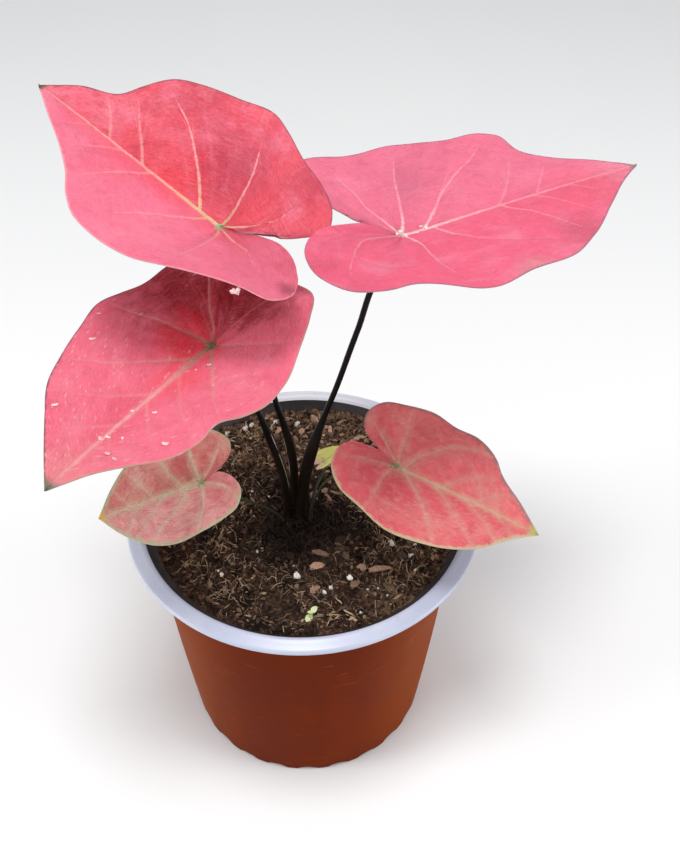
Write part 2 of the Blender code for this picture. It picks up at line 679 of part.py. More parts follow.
def make_soil():
    """Make the potting mix with its chips, its stalk holes and the tuber's pocket."""
    maker = lathe(soil_profile(), SOIL_SEGMENTS, reshape=soil_relief)
    soil = add_object("soil", maker, "soil", smooth_angle=35)
    union_collection(soil, add_chips())
    pocket = lathe(tuber_profile(GAP), TUBER_SEGMENTS, shift=CROWN, reshape=lumpy)
    for name, maker in (("tuber_pocket", pocket), ("stalk_holes", hole_cutter())):
        cutter = add_object(name, maker, "soil")
        hide_cutter(cutter)
        combine(soil, cutter)
    return soil


def make_tuber():
    """Make the tuber that the stalks grow from."""
    maker = lathe(tuber_profile(0.0), TUBER_SEGMENTS, shift=CROWN, reshape=lumpy)
    return add_object("tuber", maker, "tuber", smooth_angle=50)


def make_seedling():
    """Make the tiny three-leaved seedling, fused in one body."""
    x, y = SEEDLING_SPOT
    ground = soil_relief(Vector((x, y, POT_HEIGHT - SOIL_DROP))).z
    path = [Vector((x, y, ground - SEEDLING_DEPTH)), Vector((x, y, ground)),
            Vector((x, y - 0.3, ground + SEEDLING_HEIGHT))]
    mesh_maker = bmesh.new()
    add_tube(mesh_maker, path, [SEEDLING_STEM, SEEDLING_STEM, SEEDLING_KNOT], 8)
    seedling = add_object("seedling", mesh_maker, "seedling", smooth_angle=50)
    leaves = bpy.data.collections.new("seedling_leaves")
    bpy.context.scene.collection.children.link(leaves)
    size = Matrix.Diagonal((*SEEDLING_LEAF, 1.0))
    out = Matrix.Translation((0.8 * SEEDLING_LEAF[0], 0.0, 0.0))
    tilt = Matrix.Rotation(-SEEDLING_TILT, 4, "Y")
    for k, turn in enumerate(SEEDLING_TURNS):
        mesh_maker = bmesh.new()
        bmesh.ops.create_icosphere(mesh_maker, subdivisions=2, radius=1.0)
        place = Matrix.Translation(path[-1]) @ Matrix.Rotation(turn, 4, "Z") @ tilt @ out @ size
        bmesh.ops.transform(mesh_maker, matrix=place, verts=mesh_maker.verts)
        item = add_object(f"seedling_leaf_{k}", mesh_maker, "seedling")
        bpy.context.scene.collection.objects.unlink(item)
        leaves.objects.link(item)
    union_collection(seedling, leaves)
    return seedling


def make_plant():
    """Make every leaf with its stalk."""
    for name, leaf in LEAVES.items():
        small = leaf["stalk_radius"] < SMALL_STALK
        stalk_finish = "stalk_small" if small else "stalk"
        make_blade(f"leaf_{name}", leaf, f"leaf_{name}")
        make_stalk(f"stalk_{name}", leaf, stalk_finish, 6 if small else 8, 10 if small else 18)


def main():
    """Build the whole object."""
    clear_scene()
    make_pot()
    make_soil()
    make_tuber()
    make_plant()
    make_seedling()


main()
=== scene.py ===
import math
import random
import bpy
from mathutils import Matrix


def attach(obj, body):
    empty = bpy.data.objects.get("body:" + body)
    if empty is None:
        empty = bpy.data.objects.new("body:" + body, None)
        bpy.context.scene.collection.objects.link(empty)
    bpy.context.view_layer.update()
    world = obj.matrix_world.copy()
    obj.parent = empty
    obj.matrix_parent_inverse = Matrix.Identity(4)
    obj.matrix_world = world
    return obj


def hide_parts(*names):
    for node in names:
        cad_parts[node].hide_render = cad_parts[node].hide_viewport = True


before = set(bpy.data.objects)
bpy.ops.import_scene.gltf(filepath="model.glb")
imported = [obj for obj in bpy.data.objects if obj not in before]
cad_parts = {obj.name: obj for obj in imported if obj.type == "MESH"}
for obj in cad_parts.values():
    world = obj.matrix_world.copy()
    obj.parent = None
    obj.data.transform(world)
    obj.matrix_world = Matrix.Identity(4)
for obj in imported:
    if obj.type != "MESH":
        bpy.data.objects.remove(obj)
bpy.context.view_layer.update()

from types import SimpleNamespace

import bpy
import numpy as np
from mathutils import Matrix, Vector
from mathutils.kdtree import KDTree

# All sizes are in millimetres, as in the part. Objects are made in metres.
MM = 0.001

# Pot
POT_HEIGHT = 130.0
RIM_RADIUS = 80.0
RIM_INNER_RADIUS = 73.4
LIP_DEPTH = 3.2
SHOULDER_RADIUS = 69.1
SHOULDER_DROP = 6.0
FOOT_RADIUS = 58.9
WALL_BULGE = 0.9
WALL = 1.3
FOOT_RING = 5.0
FLOOR_HEIGHT = 3.0
PAD_RADIUS = 6.0
NOTCH_COUNT = 24
NOTCH_WIDTH = 9.5
NOTCH_HEIGHT = 2.1
NOTCH_FADE = 7.0
NOTCH_TURN = math.radians(1.0)
DRAIN_COUNT = 8
DRAIN_RADIUS = 4.5
DRAIN_CIRCLE = 36.0
POT_SIDES = 288

# Potting mix
SOIL_TOP = 124.0
SOIL_RADIUS = 67.9
SOIL_SLOPE = 0.03
SOIL_RELIEF = 0.77
SOIL_CELLS = 250
BANK = 2.2
CROWN = (-3.2, 0.6)
CROWN_FLAT = 15.0
CROWN_CLEAR = 5.5
LUMPS = [(0.21, 0.17, 2.9, 0.5), (0.21, -0.17, 2.1, 0.5), (0.43, -0.31, 0.0, 0.6),
         (0.52, 0.37, 2.0, 0.5)]
CRUMB_COUNT = 1500
SPLINTER_COUNT = 2300
FIBRE_COUNT = 1700
SMALL_CHIP_DRAWS = 520
CHIP_COUNT = 34
CHIP_SEED = 7
CHIP_SPACING = 7.0
SEEDLING_SPOT = (4.9, -56.0)
TUBER_TOP = 108.0

# Leaves. The blades are thinner than in the part, and thinnest at the margin.
BLADE = 0.8
BLADE_SHOWN = 0.7
THIN_MARGIN = 0.45
BLADE_LINES = 104
BLADE_STEPS = 46
GAP = 0.3
VEIN_ARCH = 0.12
VEIN_START = 15.0
VEIN_SPREAD = 1.2
FOLD_ROUND = 0.05
LOBE_ROUND = 0.04
RIPPLES = 3.5
RIPPLE_START = 0.15

# How far a big blade swells between its veins, sinks along them and puckers.
BIG_BLADE = 88.0
SWELL = 0.45
VEIN_SINK = 0.34
RIB_SINK = 0.45
PUCKER = 0.45
FINE_PUCKER = 0.32

# Stalks. They are a little thinner than in the part, and their sheath laps over itself.
STALK_SHOWN = 0.87
THIN_STALK_SHOWN = 0.78
SHEATH_TAPER = 24.0
STALK_SIDES = 28
STALK_STEPS = 150
LAP_WIDTH = 0.22
LAP_RIDGE = 0.16

# Camera: its place in metres, its tilt and roll in degrees, and its lens.
CAMERA_SPOT = (0.0162, -0.3206, 0.4764)
CAMERA_TILT = 90.0 - 42.81
CAMERA_ROLL = 0.33
LENS = 43.84

# The leaves as the part has them. A blade's outline runs from the notch at its hub to its tip, on
# the left and on the right, in points along and across the blade from the hub. fold, arch, cross,
# lobe_lift, lobe_drop and wave bend it. Hubs, stalks and sheath tops are measured from the level
# of the pot's top, and neck is how far the stalk runs straight under the blade.
LEAVES = {
    "upper_left": {
        "hub": (-27.1, -0.9, 146.6), "facing": (0.25, -0.33, 0.91),
        "heading": (-0.77, 0.50, 0.39), "length": 88.0,
        "fold": 0.50, "arch": 0.02, "cross": 0.12, "lobe_lift": 0.30, "lobe_drop": 0.10,
        "wave": 0.8, "notch": (-11, -4),
        "left": [(-16, -5), (-21, -5.6), (-30, -3), (-37, 4), (-40, 14), (-37, 22), (-27, 25),
                 (-14, 30), (-2, 36), (7, 43), (16, 46), (28, 45), (37, 39), (48, 28),
                 (57, 21), (72, 11)],
        "right": [(-16, -6.6), (-26, -11), (-32, -18), (-29, -23.5), (-18, -31), (-7, -35),
                  (4, -40), (14, -43), (27, -40), (41, -35), (51, -30), (58, -22), (62, -16),
                  (76, -9)],
        "stalk": [(-4, 6.4, -6), (-4.2, 6.4, 12), (-5, 5.6, 28), (-7.4, 4, 44), (-10.9, 2, 62),
                  (-16.6, 11.5, 98), (-19.6, 14.2, 118)],
        "stalk_radius": 1.4, "sheath_radius": 2.2, "sheath_top": 45, "neck": 8,
    },
    "upper_right": {
        "hub": (38.3, 2.3, 141.6), "facing": (-0.03, -0.03, 1.0),
        "heading": (0.88, 0.47, 0.04), "length": 108.5,
        "fold": 0.20, "arch": 0.02, "cross": 0.06, "lobe_lift": 0.45, "lobe_drop": 0.20,
        "wave": 0.8, "notch": (-12, 7.4),
        "left": [(-19, 13.5), (-23, 20), (-25, 29), (-23, 39), (-17, 45), (-7, 47.5), (8, 48),
                 (22, 49), (32, 46), (44, 41.5), (60, 40), (66, 37), (69, 26), (78, 17),
                 (95, 8)],
        "right": [(-20, 6), (-32, 2.5), (-42, -8), (-48, -20), (-50, -36), (-45, -47),
                  (-35, -49), (-20, -45), (-4, -45), (8, -49), (24, -47), (40, -48),
                  (55, -40), (78, -22), (96, -8)],
        "stalk": [(-1.2, 0.2, -6), (-0.9, 0.3, 2), (0.4, 0.8, 14), (3.2, 1.6, 29), (6.8, 2.2, 43),
                  (14.9, 2.7, 69), (23, 2.8, 98), (31, 2.7, 124)],
        "stalk_radius": 1.4, "sheath_radius": 3.0, "sheath_top": 43, "neck": 8,
    },
    "middle": {
        "hub": (-31.8, -19.2, 106.8), "facing": (-0.05, -0.07, 1.0),
        "heading": (-0.61, -0.79, -0.09), "length": 82.4,
        "fold": 0.33, "arch": 0.03, "cross": 0.12, "lobe_lift": 0.20, "lobe_drop": 0.06,
        "wave": 0.8, "notch": (-28, -8.5),
        "left": [(-30.5, -7.8), (-34, -5.8), (-37.2, -1.5), (-38.6, 5), (-38.3, 12),
                 (-36, 20), (-24, 29), (-8, 36.5), (8, 42.5), (20, 44), (27, 41), (33, 35),
                 (42, 35), (52, 31), (61, 21), (70, 10)],
        "right": [(-30, -10.6), (-33.5, -13.8), (-36.5, -18.5), (-36.6, -23.5), (-33, -28),
                  (-27, -32), (-16, -36), (-4, -37), (5, -40), (14, -43), (27, -40),
                  (42, -34), (53, -29), (62, -21), (72, -11)],
        "stalk": [(-7.6, 0.8, -6), (-7.5, -0.4, 8), (-8.6, -2.4, 22), (-11, -4.8, 37),
                  (-13.7, -7.3, 51), (-16.6, -9.7, 64), (-22.5, -14, 84)],
        "stalk_radius": 1.2, "sheath_radius": 2.2, "sheath_top": 58, "neck": 8,
    },
    "lower_left": {
        "hub": (-39.8, -28.0, 43.3), "facing": (-0.30, -0.63, 0.72),
        "heading": (-0.91, -0.03, -0.41), "length": 50.6,
        "fold": 0.56, "arch": 0.03, "cross": 0.03, "lobe_lift": 0.30, "lobe_drop": 0.0,
        "wave": 0.4, "notch": (-8, -1.8),
        "left": [(-12, 0), (-16, 3.5), (-19, 10), (-17, 15.5), (-10, 18.5), (2, 20.5), (12, 22),
                 (22, 20), (33, 14.5), (43, 7)],
        "right": [(-12, -3), (-17, -5.2), (-20, -10), (-16, -15.5), (-8, -18.5), (4, -20),
                  (16, -19), (28, -15.5), (38, -10)],
        "stalk": [(-9.5, -4.5, -6), (-10.8, -5.7, -2), (-15.5, -9.3, 7), (-21.4, -14, 16),
                  (-27.5, -18.5, 25)],
        "stalk_radius": 0.8, "sheath_radius": 1.3, "sheath_top": 0, "neck": 6,
    },
    "lower_right": {
        "hub": (39.6, -15.9, 41.0), "facing": (0.15, -0.20, 0.97),
        "heading": (0.91, -0.36, -0.21), "length": 65.1,
        "fold": 0.14, "arch": 0.04, "cross": 0.06, "lobe_lift": 0.12, "lobe_drop": 0.15,
        "wave": 0.4, "notch": (-9, 3.4),
        "left": [(-14, 6), (-19, 10), (-21, 17), (-17, 25), (-7, 29), (5, 32), (17, 29.5),
                 (27, 29), (37, 24), (42, 18), (54, 9)],
        "right": [(-15, 3), (-22, 1), (-25, -5), (-24, -14), (-17, -23), (-5, -28), (8, -32),
                  (20, -31), (32, -28), (43, -21.5), (55, -9)],
        "stalk": [(3.2, -3.6, -6), (3.4, -3.4, 1), (5.4, -3.4, 8), (10, -4, 19), (20, -7.5, 29)],
        "stalk_radius": 0.7, "sheath_radius": 1.2, "sheath_top": 0, "neck": 6,
    },
    "young": {
        "hub": (9.0, 20.0, 8.0), "facing": (-0.35, -0.45, 0.82),
        "heading": (0.80, 0.30, 0.45), "length": 13.0,
        "fold": 0.35, "arch": 0.0, "cross": 0.0, "lobe_lift": 0.2, "lobe_drop": 0.0,
        "wave": 0.0, "notch": (-2.2, 0),
        "left": [(-4.5, 1), (-5.5, 3.0), (-3.5, 4.8), (1, 5.2), (6, 4)],
        "right": [(-4, -0.6), (-4.8, -1.6), (-3.2, -2.6), (1, -3), (6, -2.4)],
        "stalk": [(3.4, 5.4, -6), (4, 6.9, -2), (6, 12, 1)],
        "stalk_radius": 0.6, "sheath_radius": 0.9, "sheath_top": 0, "neck": 3,
    },
}


# The side veins of each half blade, from the notch to the tip: how strongly each shows, and its
# points along and across the blade, from the midrib outwards.
VEINS = {
    "upper_left": {
        1: [(0.7, [(0, 0), (-9, 3), (-16.5, 4.5), (-23, 9.7), (-31, 13)]),
            (0.45, [(0, 0), (-2, 4.7), (-2.7, 15), (-2.3, 26), (-1, 34)]),
            (0.6, [(5.5, 0), (9.3, 6), (15.4, 15.5), (20, 23), (26, 36)]),
            (0.55, [(32.5, 0), (37, 7), (41, 18), (44, 27), (46, 31)]),
            (0.45, [(46, 0), (51, 4), (54.5, 10), (57, 17), (58, 20)]),
            (0.3, [(62, 0), (66, 4), (69, 9)])],
        -1: [(1.0, [(0, 0), (-5, -3.4), (-9.5, -6.5), (-13.4, -11), (-16.2, -17), (-17, -23)]),
             (1.0, [(0, 0), (0, -5), (2, -14), (4.5, -22), (7.5, -28), (12, -36)]),
             (1.0, [(9.5, 0), (15.4, -6.5), (21, -11.5), (27, -16), (35.5, -21.5), (46.5, -26),
                   (53, -28)]),
             (0.8, [(37, 0), (43, -6), (50, -12), (56, -17.5), (60, -19)]),
             (0.6, [(53, 0), (58, -6), (63.5, -10.5), (68, -13)])],
    },
    "upper_right": {
        1: [(0.25, [(0, 0), (-8, 9), (-15, 21), (-21, 33)]),
            (0.9, [(0, 0), (-2.7, 9.6), (-5, 15), (-6, 26), (-8, 35), (-9, 45)]),
            (1.0, [(0, 0), (5, 8), (9.3, 18), (13.7, 29), (20, 41), (23, 47)]),
            (1.0, [(9, 0), (17.4, 7), (26.4, 15.3), (33.7, 20.5), (47, 28), (60, 37)]),
            (0.6, [(42, 0), (50, 7), (56, 14), (64, 25)]),
            (0.5, [(60, 0), (66, 7), (71, 12), (76, 18)])],
        -1: [(0.2, [(0, 0), (-17, 1), (-31, -4), (-42, -13)]),
             (0.55, [(0, 0), (-12.6, -2.5), (-21.4, -8), (-31.4, -21.6), (-40, -36), (-42, -46)]),
             (0.7, [(0, 0), (2.5, -5), (1.8, -16.8), (0.6, -26), (1.4, -33), (3, -44)]),
             (0.5, [(13, 0), (18.5, -11), (26, -21), (39, -30), (52, -40)]),
             (0.7, [(43, 0), (49.5, -10), (53, -19), (55.5, -29), (58, -37)]),
             (0.5, [(58, 0), (64, -7.6), (67, -16.5), (70, -27)]),
             (0.3, [(75, 0), (80, -6), (83, -12), (84, -17)])],
    },
    "middle": {
        1: [(0.35, [(0, 0), (-15, 1), (-26, 4), (-36, 9)]),
            (0.8, [(0, 0), (-4, 9), (-8, 21.7), (-10.5, 28), (-14, 33)]),
            (1.0, [(0, 0), (10, 10), (17.4, 17.7), (23, 23), (31, 34)]),
            (0.4, [(17, 0), (25, 8), (33, 17), (41, 31)]),
            (0.35, [(34, 0), (42, 9), (49, 19), (53, 28)]),
            (0.3, [(52, 0), (58, 6), (63, 12), (66, 15)])],
        -1: [(0.8, [(0, 0), (-7, -5), (-11, -10), (-21, -19), (-31, -27)]),
             (1.0, [(0, 0), (0.3, -7.8), (2.6, -15.6), (5, -23), (8, -30), (11, -40)]),
             (0.9, [(8, 0), (15.7, -7.5), (21, -12), (29, -18.7), (40, -32)]),
             (0.35, [(30, 0), (38, -8), (46, -16), (53, -26)]),
             (0.3, [(48, 0), (54, -6), (60, -12), (65, -16)])],
    },
    "lower_left": {
        1: [(0.8, [(0, 0), (-7, 3), (-13, 7), (-16.5, 11)]),
            (1.0, [(0, 0), (0.6, 9.7), (1.4, 13.6), (2.6, 17), (3, 20)]),
            (1.0, [(7, 0), (10, 5), (14, 9), (18.7, 12.8), (22, 16), (24, 19)]),
            (0.7, [(17, 0), (21.5, 3), (24.5, 6.5), (27.5, 10.5), (31, 14.5)]),
            (0.6, [(28, 0), (31.5, 3), (33.5, 7), (36, 11)])],
        -1: [(0.6, [(0, 0), (-6, -4), (-12, -8), (-17, -12)]),
             (1.0, [(0, 0), (1, -6.7), (0, -11), (-2, -18)]),
             (0.8, [(8, 0), (11.5, -6), (13, -10.4), (15, -18)]),
             (0.7, [(23, 0), (26.4, -7), (29, -12), (30, -14)]),
             (0.5, [(34, 0), (37, -5), (39, -8)])],
    },
    "lower_right": {
        1: [(1.0, [(0, 0), (-4, 4.6), (-10.6, 10.6), (-16, 15), (-19, 19)]),
            (0.8, [(0, 0), (-1, 12.8), (-2.6, 20.7), (-3.4, 27), (-3, 30)]),
            (1.0, [(3, 0), (7, 8.7), (12.8, 14.9), (18, 19.8), (26, 23), (35, 24)]),
            (0.5, [(21, 0), (28, 8.5), (35, 13.5), (42, 16)]),
            (0.5, [(35, 0), (41, 6), (47, 10), (50, 11)])],
        -1: [(0.7, [(0, 0), (-8, -2.5), (-16, -5), (-23, -9)]),
             (0.8, [(0, 0), (-2.4, -6.9), (-2.9, -13), (-3, -20), (-4, -27)]),
             (1.0, [(3, 0), (9.8, -5.6), (16, -12.2), (20.7, -18.5), (24, -23.5), (27, -29)]),
             (0.8, [(17, 0), (25.5, -6.3), (30.7, -11.2), (37, -16.5), (42, -21)]),
             (0.6, [(31, 0), (38.3, -4.2), (44, -8), (49, -13)]),
             (0.5, [(45, 0), (50, -3), (54, -7)])],
    },
    "young": {
        1: [(0.5, [(0, 0), (-2, 2), (-3.5, 4.5)]), (0.5, [(1, 0), (2.5, 2.5), (3.5, 4.6)])],
        -1: [(0.5, [(0, 0), (-2, -2), (-3.5, -4.5)]), (0.5, [(1, 0), (2.5, -2.5), (3.5, -4.6)])],
    },
}

# Bits that lie where the photo shows them, in millimetres.
# Bark chips: x, y, length, width, tone and turn.
SEEN_CHIPS = [(6.9, -30.7, 7.0, 3.4, 0.95, 0.3), (26.2, -30.5, 5.6, 3.6, 0.7, 1.2),
              (5.9, -43.0, 5.5, 3.0, 0.62, 1.0), (34.0, -32.1, 10.0, 2.6, 0.75, 0.25),
              (8.6, -24.0, 9.0, 2.6, 0.45, -0.2), (23.1, -40.3, 5.0, 3.0, 0.4, 0.8),
              (18.7, -24.5, 6.0, 2.6, 0.3, 2.0)]
# White grains: x, y and size.
SEEN_PERLITE = [(-2.1, -36.7, 1.5), (20.9, -36.5, 1.2), (9.8, -44.1, 1.1), (39.3, -17.0, 1.5),
                (47.9, -24.3, 1.2), (49.7, -33.1, 0.9), (-34.5, -36.9, 0.9), (-5.4, 59.5, 1.3),
                (-39.3, 51.5, 1.1), (-30.7, 55.3, 1.2), (-27.3, 57.0, 1.3), (-16.2, 58.4, 1.4),
                (-18.1, -21.4, 0.8), (50.0, -18.1, 0.9), (28.6, -43.4, 0.5), (12.8, -41.0, 0.8)]
# Fibres: x, y, length and thickness. The first runs straight to the front.
SEEN_FIBRES = [(17.5, -49.2, 9.0, 0.42), (19.5, -53.0, 7.0, 0.25), (40.0, -26.0, 12.0, 0.22),
               (44.0, -22.0, 12.0, 0.2), (46.0, -27.0, 10.0, 0.2), (42.0, -33.0, 9.0, 0.18)]
# Crumbs on the blades: along and across the blade, and size. They lie by the upper right blade's
# hub, at the upper left one's margin and all over the middle one.
HUB_CRUMBS = [(0.4, 2.0, 0.9), (1.1, -1.1, 0.8), (9.2, 1.8, 0.9), (10.5, 0.4, 0.8),
              (6.0, -0.8, 0.5), (-1.5, 0.8, 0.6)]
MARGIN_CRUMBS = [(-26.6, 25.4, 0.8), (-27.2, 26.8, 1.0), (-26.2, 28.0, 0.9)]
MIDDLE_CRUMBS = [(12.7, 5.1, 0.6), (8.7, 7.3, 0.6), (55.8, -0.3, 1.0), (54, 1.2, 0.7),
                 (48, 24.3, 0.9), (59.9, 7.6, 0.7), (60.7, 12.4, 0.7), (17.6, -39.1, 0.6),
                 (27.6, -32.3, 0.9), (56.7, -21.2, 0.8), (20.8, 38.2, 0.8), (52, 7.3, 0.7),
                 (37.2, 7.8, 0.7), (40.4, -0.5, 0.6)]


# ---- Working with pieces

def deselect_all():
    """Leave nothing selected."""
    bpy.ops.object.select_all(action="DESELECT")


def select_only(piece):
    """Make one piece the selected and active one."""
    deselect_all()
    piece.select_set(True)
    bpy.context.view_layer.objects.active = piece


def named(name):
    """Name the piece that was just made."""
    piece = bpy.context.object
    piece.name = name
    piece.data.name = name
    return piece


def add(operator, name, **settings):
    """Add a primitive and name it."""
    deselect_all()
    operator(**settings)
    return named(name)


def edit(piece, operator, **settings):
    """Run an edit-mode operator on the whole of a piece."""
    select_only(piece)
    bpy.ops.object.mode_set(mode="EDIT")
    bpy.ops.mesh.select_all(action="SELECT")
    operator(**settings)
    bpy.ops.object.mode_set(mode="OBJECT")


def outward(piece):
    """Point all of a closed piece's faces outwards."""
    edit(piece, bpy.ops.mesh.normals_make_consistent, inside=False)


def merge_points(piece, distance):
    """Merge a piece's points that lie together."""
    edit(piece, bpy.ops.mesh.remove_doubles, threshold=distance * MM)


def points_of(piece):
    """Give a piece's points, in millimetres."""
    flat = np.empty(3 * len(piece.data.vertices), np.float32)
    piece.data.vertices.foreach_get("co", flat)
    return flat.reshape(-1, 3) / MM


def place_points(piece, points):
    """Put a piece's points at places given in millimetres."""
    piece.data.vertices.foreach_set("co", (MM * points).astype(np.float32).ravel())
    piece.data.update()


def add_grid(name, columns, rows):
    """Add a grid; give it with each point's column and row number."""
    piece = add(bpy.ops.mesh.primitive_grid_add, name, x_subdivisions=columns,
                y_subdivisions=rows, size=1.0)
    flat = points_of(piece) * MM + 0.5
    return piece, *[np.rint(flat[:, k] * (columns, rows)[k]).astype(int) for k in (0, 1)]


def give_vectors(piece, name, *values):
    """Store three numbers at each point of a piece."""
    layer = piece.data.attributes.new(name, "FLOAT_VECTOR", "POINT")
    layer.data.foreach_set("vector", np.stack(values, axis=1).astype(np.float32).ravel())


def apply_modifiers(piece):
    """Apply a piece's modifiers in order."""
    select_only(piece)
    for modifier in list(piece.modifiers):
        bpy.ops.object.modifier_apply(modifier=modifier.name)


def loose_bits(name, spots, faces, tones):
    """Make one piece of many small bits, with a tone stored at each point."""
    mesh = bpy.data.meshes.new(name)
    mesh.from_pydata((MM * np.array(spots)).tolist(), [], faces)
    piece = bpy.data.objects.new(name, mesh)
    bpy.context.scene.collection.objects.link(piece)
    layer = mesh.attributes.new("tone", "FLOAT", "POINT")
    layer.data.foreach_set("value", np.array(tones, np.float32))
    return piece


def copies(name, model, places, tones):
    """Make one piece of many turned, scaled and moved copies of a small model."""
    points = points_of(model)
    loops = [list(face.vertices) for face in model.data.polygons]
    spots = [points @ np.array(place.to_3x3()).T + np.array(place.translation)
             for place in places]
    faces = [[v + k * len(points) for v in loop] for k in range(len(places)) for loop in loops]
    bpy.data.objects.remove(model, do_unlink=True)
    return loose_bits(name, np.concatenate(spots), faces,
                      np.repeat(np.array(tones, np.float32), len(points)))


def dress(piece, finishes, angle, slot, *nodes):
    """Give a piece its finishes, its shading and its place in the part.

    It is shaded smooth up to the angle, rides on the part's one body and stands for the nodes.
    The slot is not used.
    """
    for finish in finishes:
        piece.data.materials.append(finish)
    select_only(piece)
    if angle is None:
        bpy.ops.object.shade_smooth()
    else:
        bpy.ops.object.shade_smooth_by_angle(angle=math.radians(angle))
    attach(piece, "root")
    if nodes:
        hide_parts(*nodes)


# ---- Shapes in numbers

def smooth_line(points, count):
    """Give count points, evenly spaced, on a smooth curve through the given ones."""
    knots = np.array(points, float)
    spans = np.linalg.norm(np.diff(knots, axis=0), axis=1)
    at = np.concatenate([[0.0], np.cumsum(spans)])
    slopes = np.gradient(knots, at, axis=0)
    fine = np.linspace(0.0, at[-1], 40 * len(knots))
    k = np.clip(np.searchsorted(at, fine, side="right") - 1, 0, len(knots) - 2)
    span = (at[k + 1] - at[k])[:, None]
    u = (fine - at[k])[:, None] / span
    curve = ((2 * u**3 - 3 * u**2 + 1) * knots[k] + (u**3 - 2 * u**2 + u) * span * slopes[k]
             + (3 * u**2 - 2 * u**3) * knots[k + 1] + (u**3 - u**2) * span * slopes[k + 1])
    run = np.concatenate([[0.0], np.cumsum(np.linalg.norm(np.diff(curve, axis=0), axis=1))])
    wanted = np.linspace(0.0, run[-1], count)
    return np.stack([np.interp(wanted, run, column) for column in curve.T], axis=1)


def rough(x, y, cell, seed):
    """Give smooth random heights from -1 to 1 over a plane, with bumps about a cell wide."""
    table = np.random.default_rng(seed).uniform(-1.0, 1.0, (64, 64))
    a, b = x / cell, y / cell
    i, j = np.floor(a).astype(int), np.floor(b).astype(int)
    p, q = a - i, b - j
    p = p * p * (3 - 2 * p)
    q = q * q * (3 - 2 * q)
    low = table[i % 64, j % 64] * (1 - p) + table[(i + 1) % 64, j % 64] * p
    high = table[i % 64, (j + 1) % 64] * (1 - p) + table[(i + 1) % 64, (j + 1) % 64] * p
    return low * (1 - q) + high * q


def ease(value):
    """Ease a share from 0 to 1 in and out."""
    value = np.clip(value, 0.0, 1.0)
    return value * value * (3 - 2 * value)


# ---- Finishes

def colour(red, green, blue):
    """Turn a screen colour into the linear one that a shader takes."""
    channels = [c / 255.0 for c in (red, green, blue)]
    return (*[c / 12.92 if c <= 0.04045 else ((c + 0.055) / 1.055) ** 2.4 for c in channels], 1.0)


class Pattern:
    """A number or colour that changes over a surface. + - * / and abs work on the numbers."""

    def __init__(self, finish, socket):
        self.finish = finish
        self.socket = socket

    def __add__(self, other):
        return self.finish.maths("ADD", self, other)

    def __sub__(self, other):
        return self.finish.maths("SUBTRACT", self, other)

    def __mul__(self, other):
        return self.finish.maths("MULTIPLY", self, other)

    def __truediv__(self, other):
        return self.finish.maths("DIVIDE", self, other)

    def __abs__(self):
        return self.finish.maths("ABSOLUTE", self)

    def at_least(self, other):
        """Give the greater of two numbers."""
        return self.finish.maths("MAXIMUM", self, other)

    def spread(self, low, high, to_low=0.0, to_high=1.0):
        """Map from one range to another, eased and kept inside it."""
        return self.finish.pattern("ShaderNodeMapRange", {
            "Value": self, "From Min": low, "From Max": high, "To Min": to_low,
            "To Max": to_high}, interpolation_type="SMOOTHSTEP")

    def painted(self, share, tint):
        """Paint another colour over this one, as far as the share says."""
        return self.finish.mix(share, self, tint)


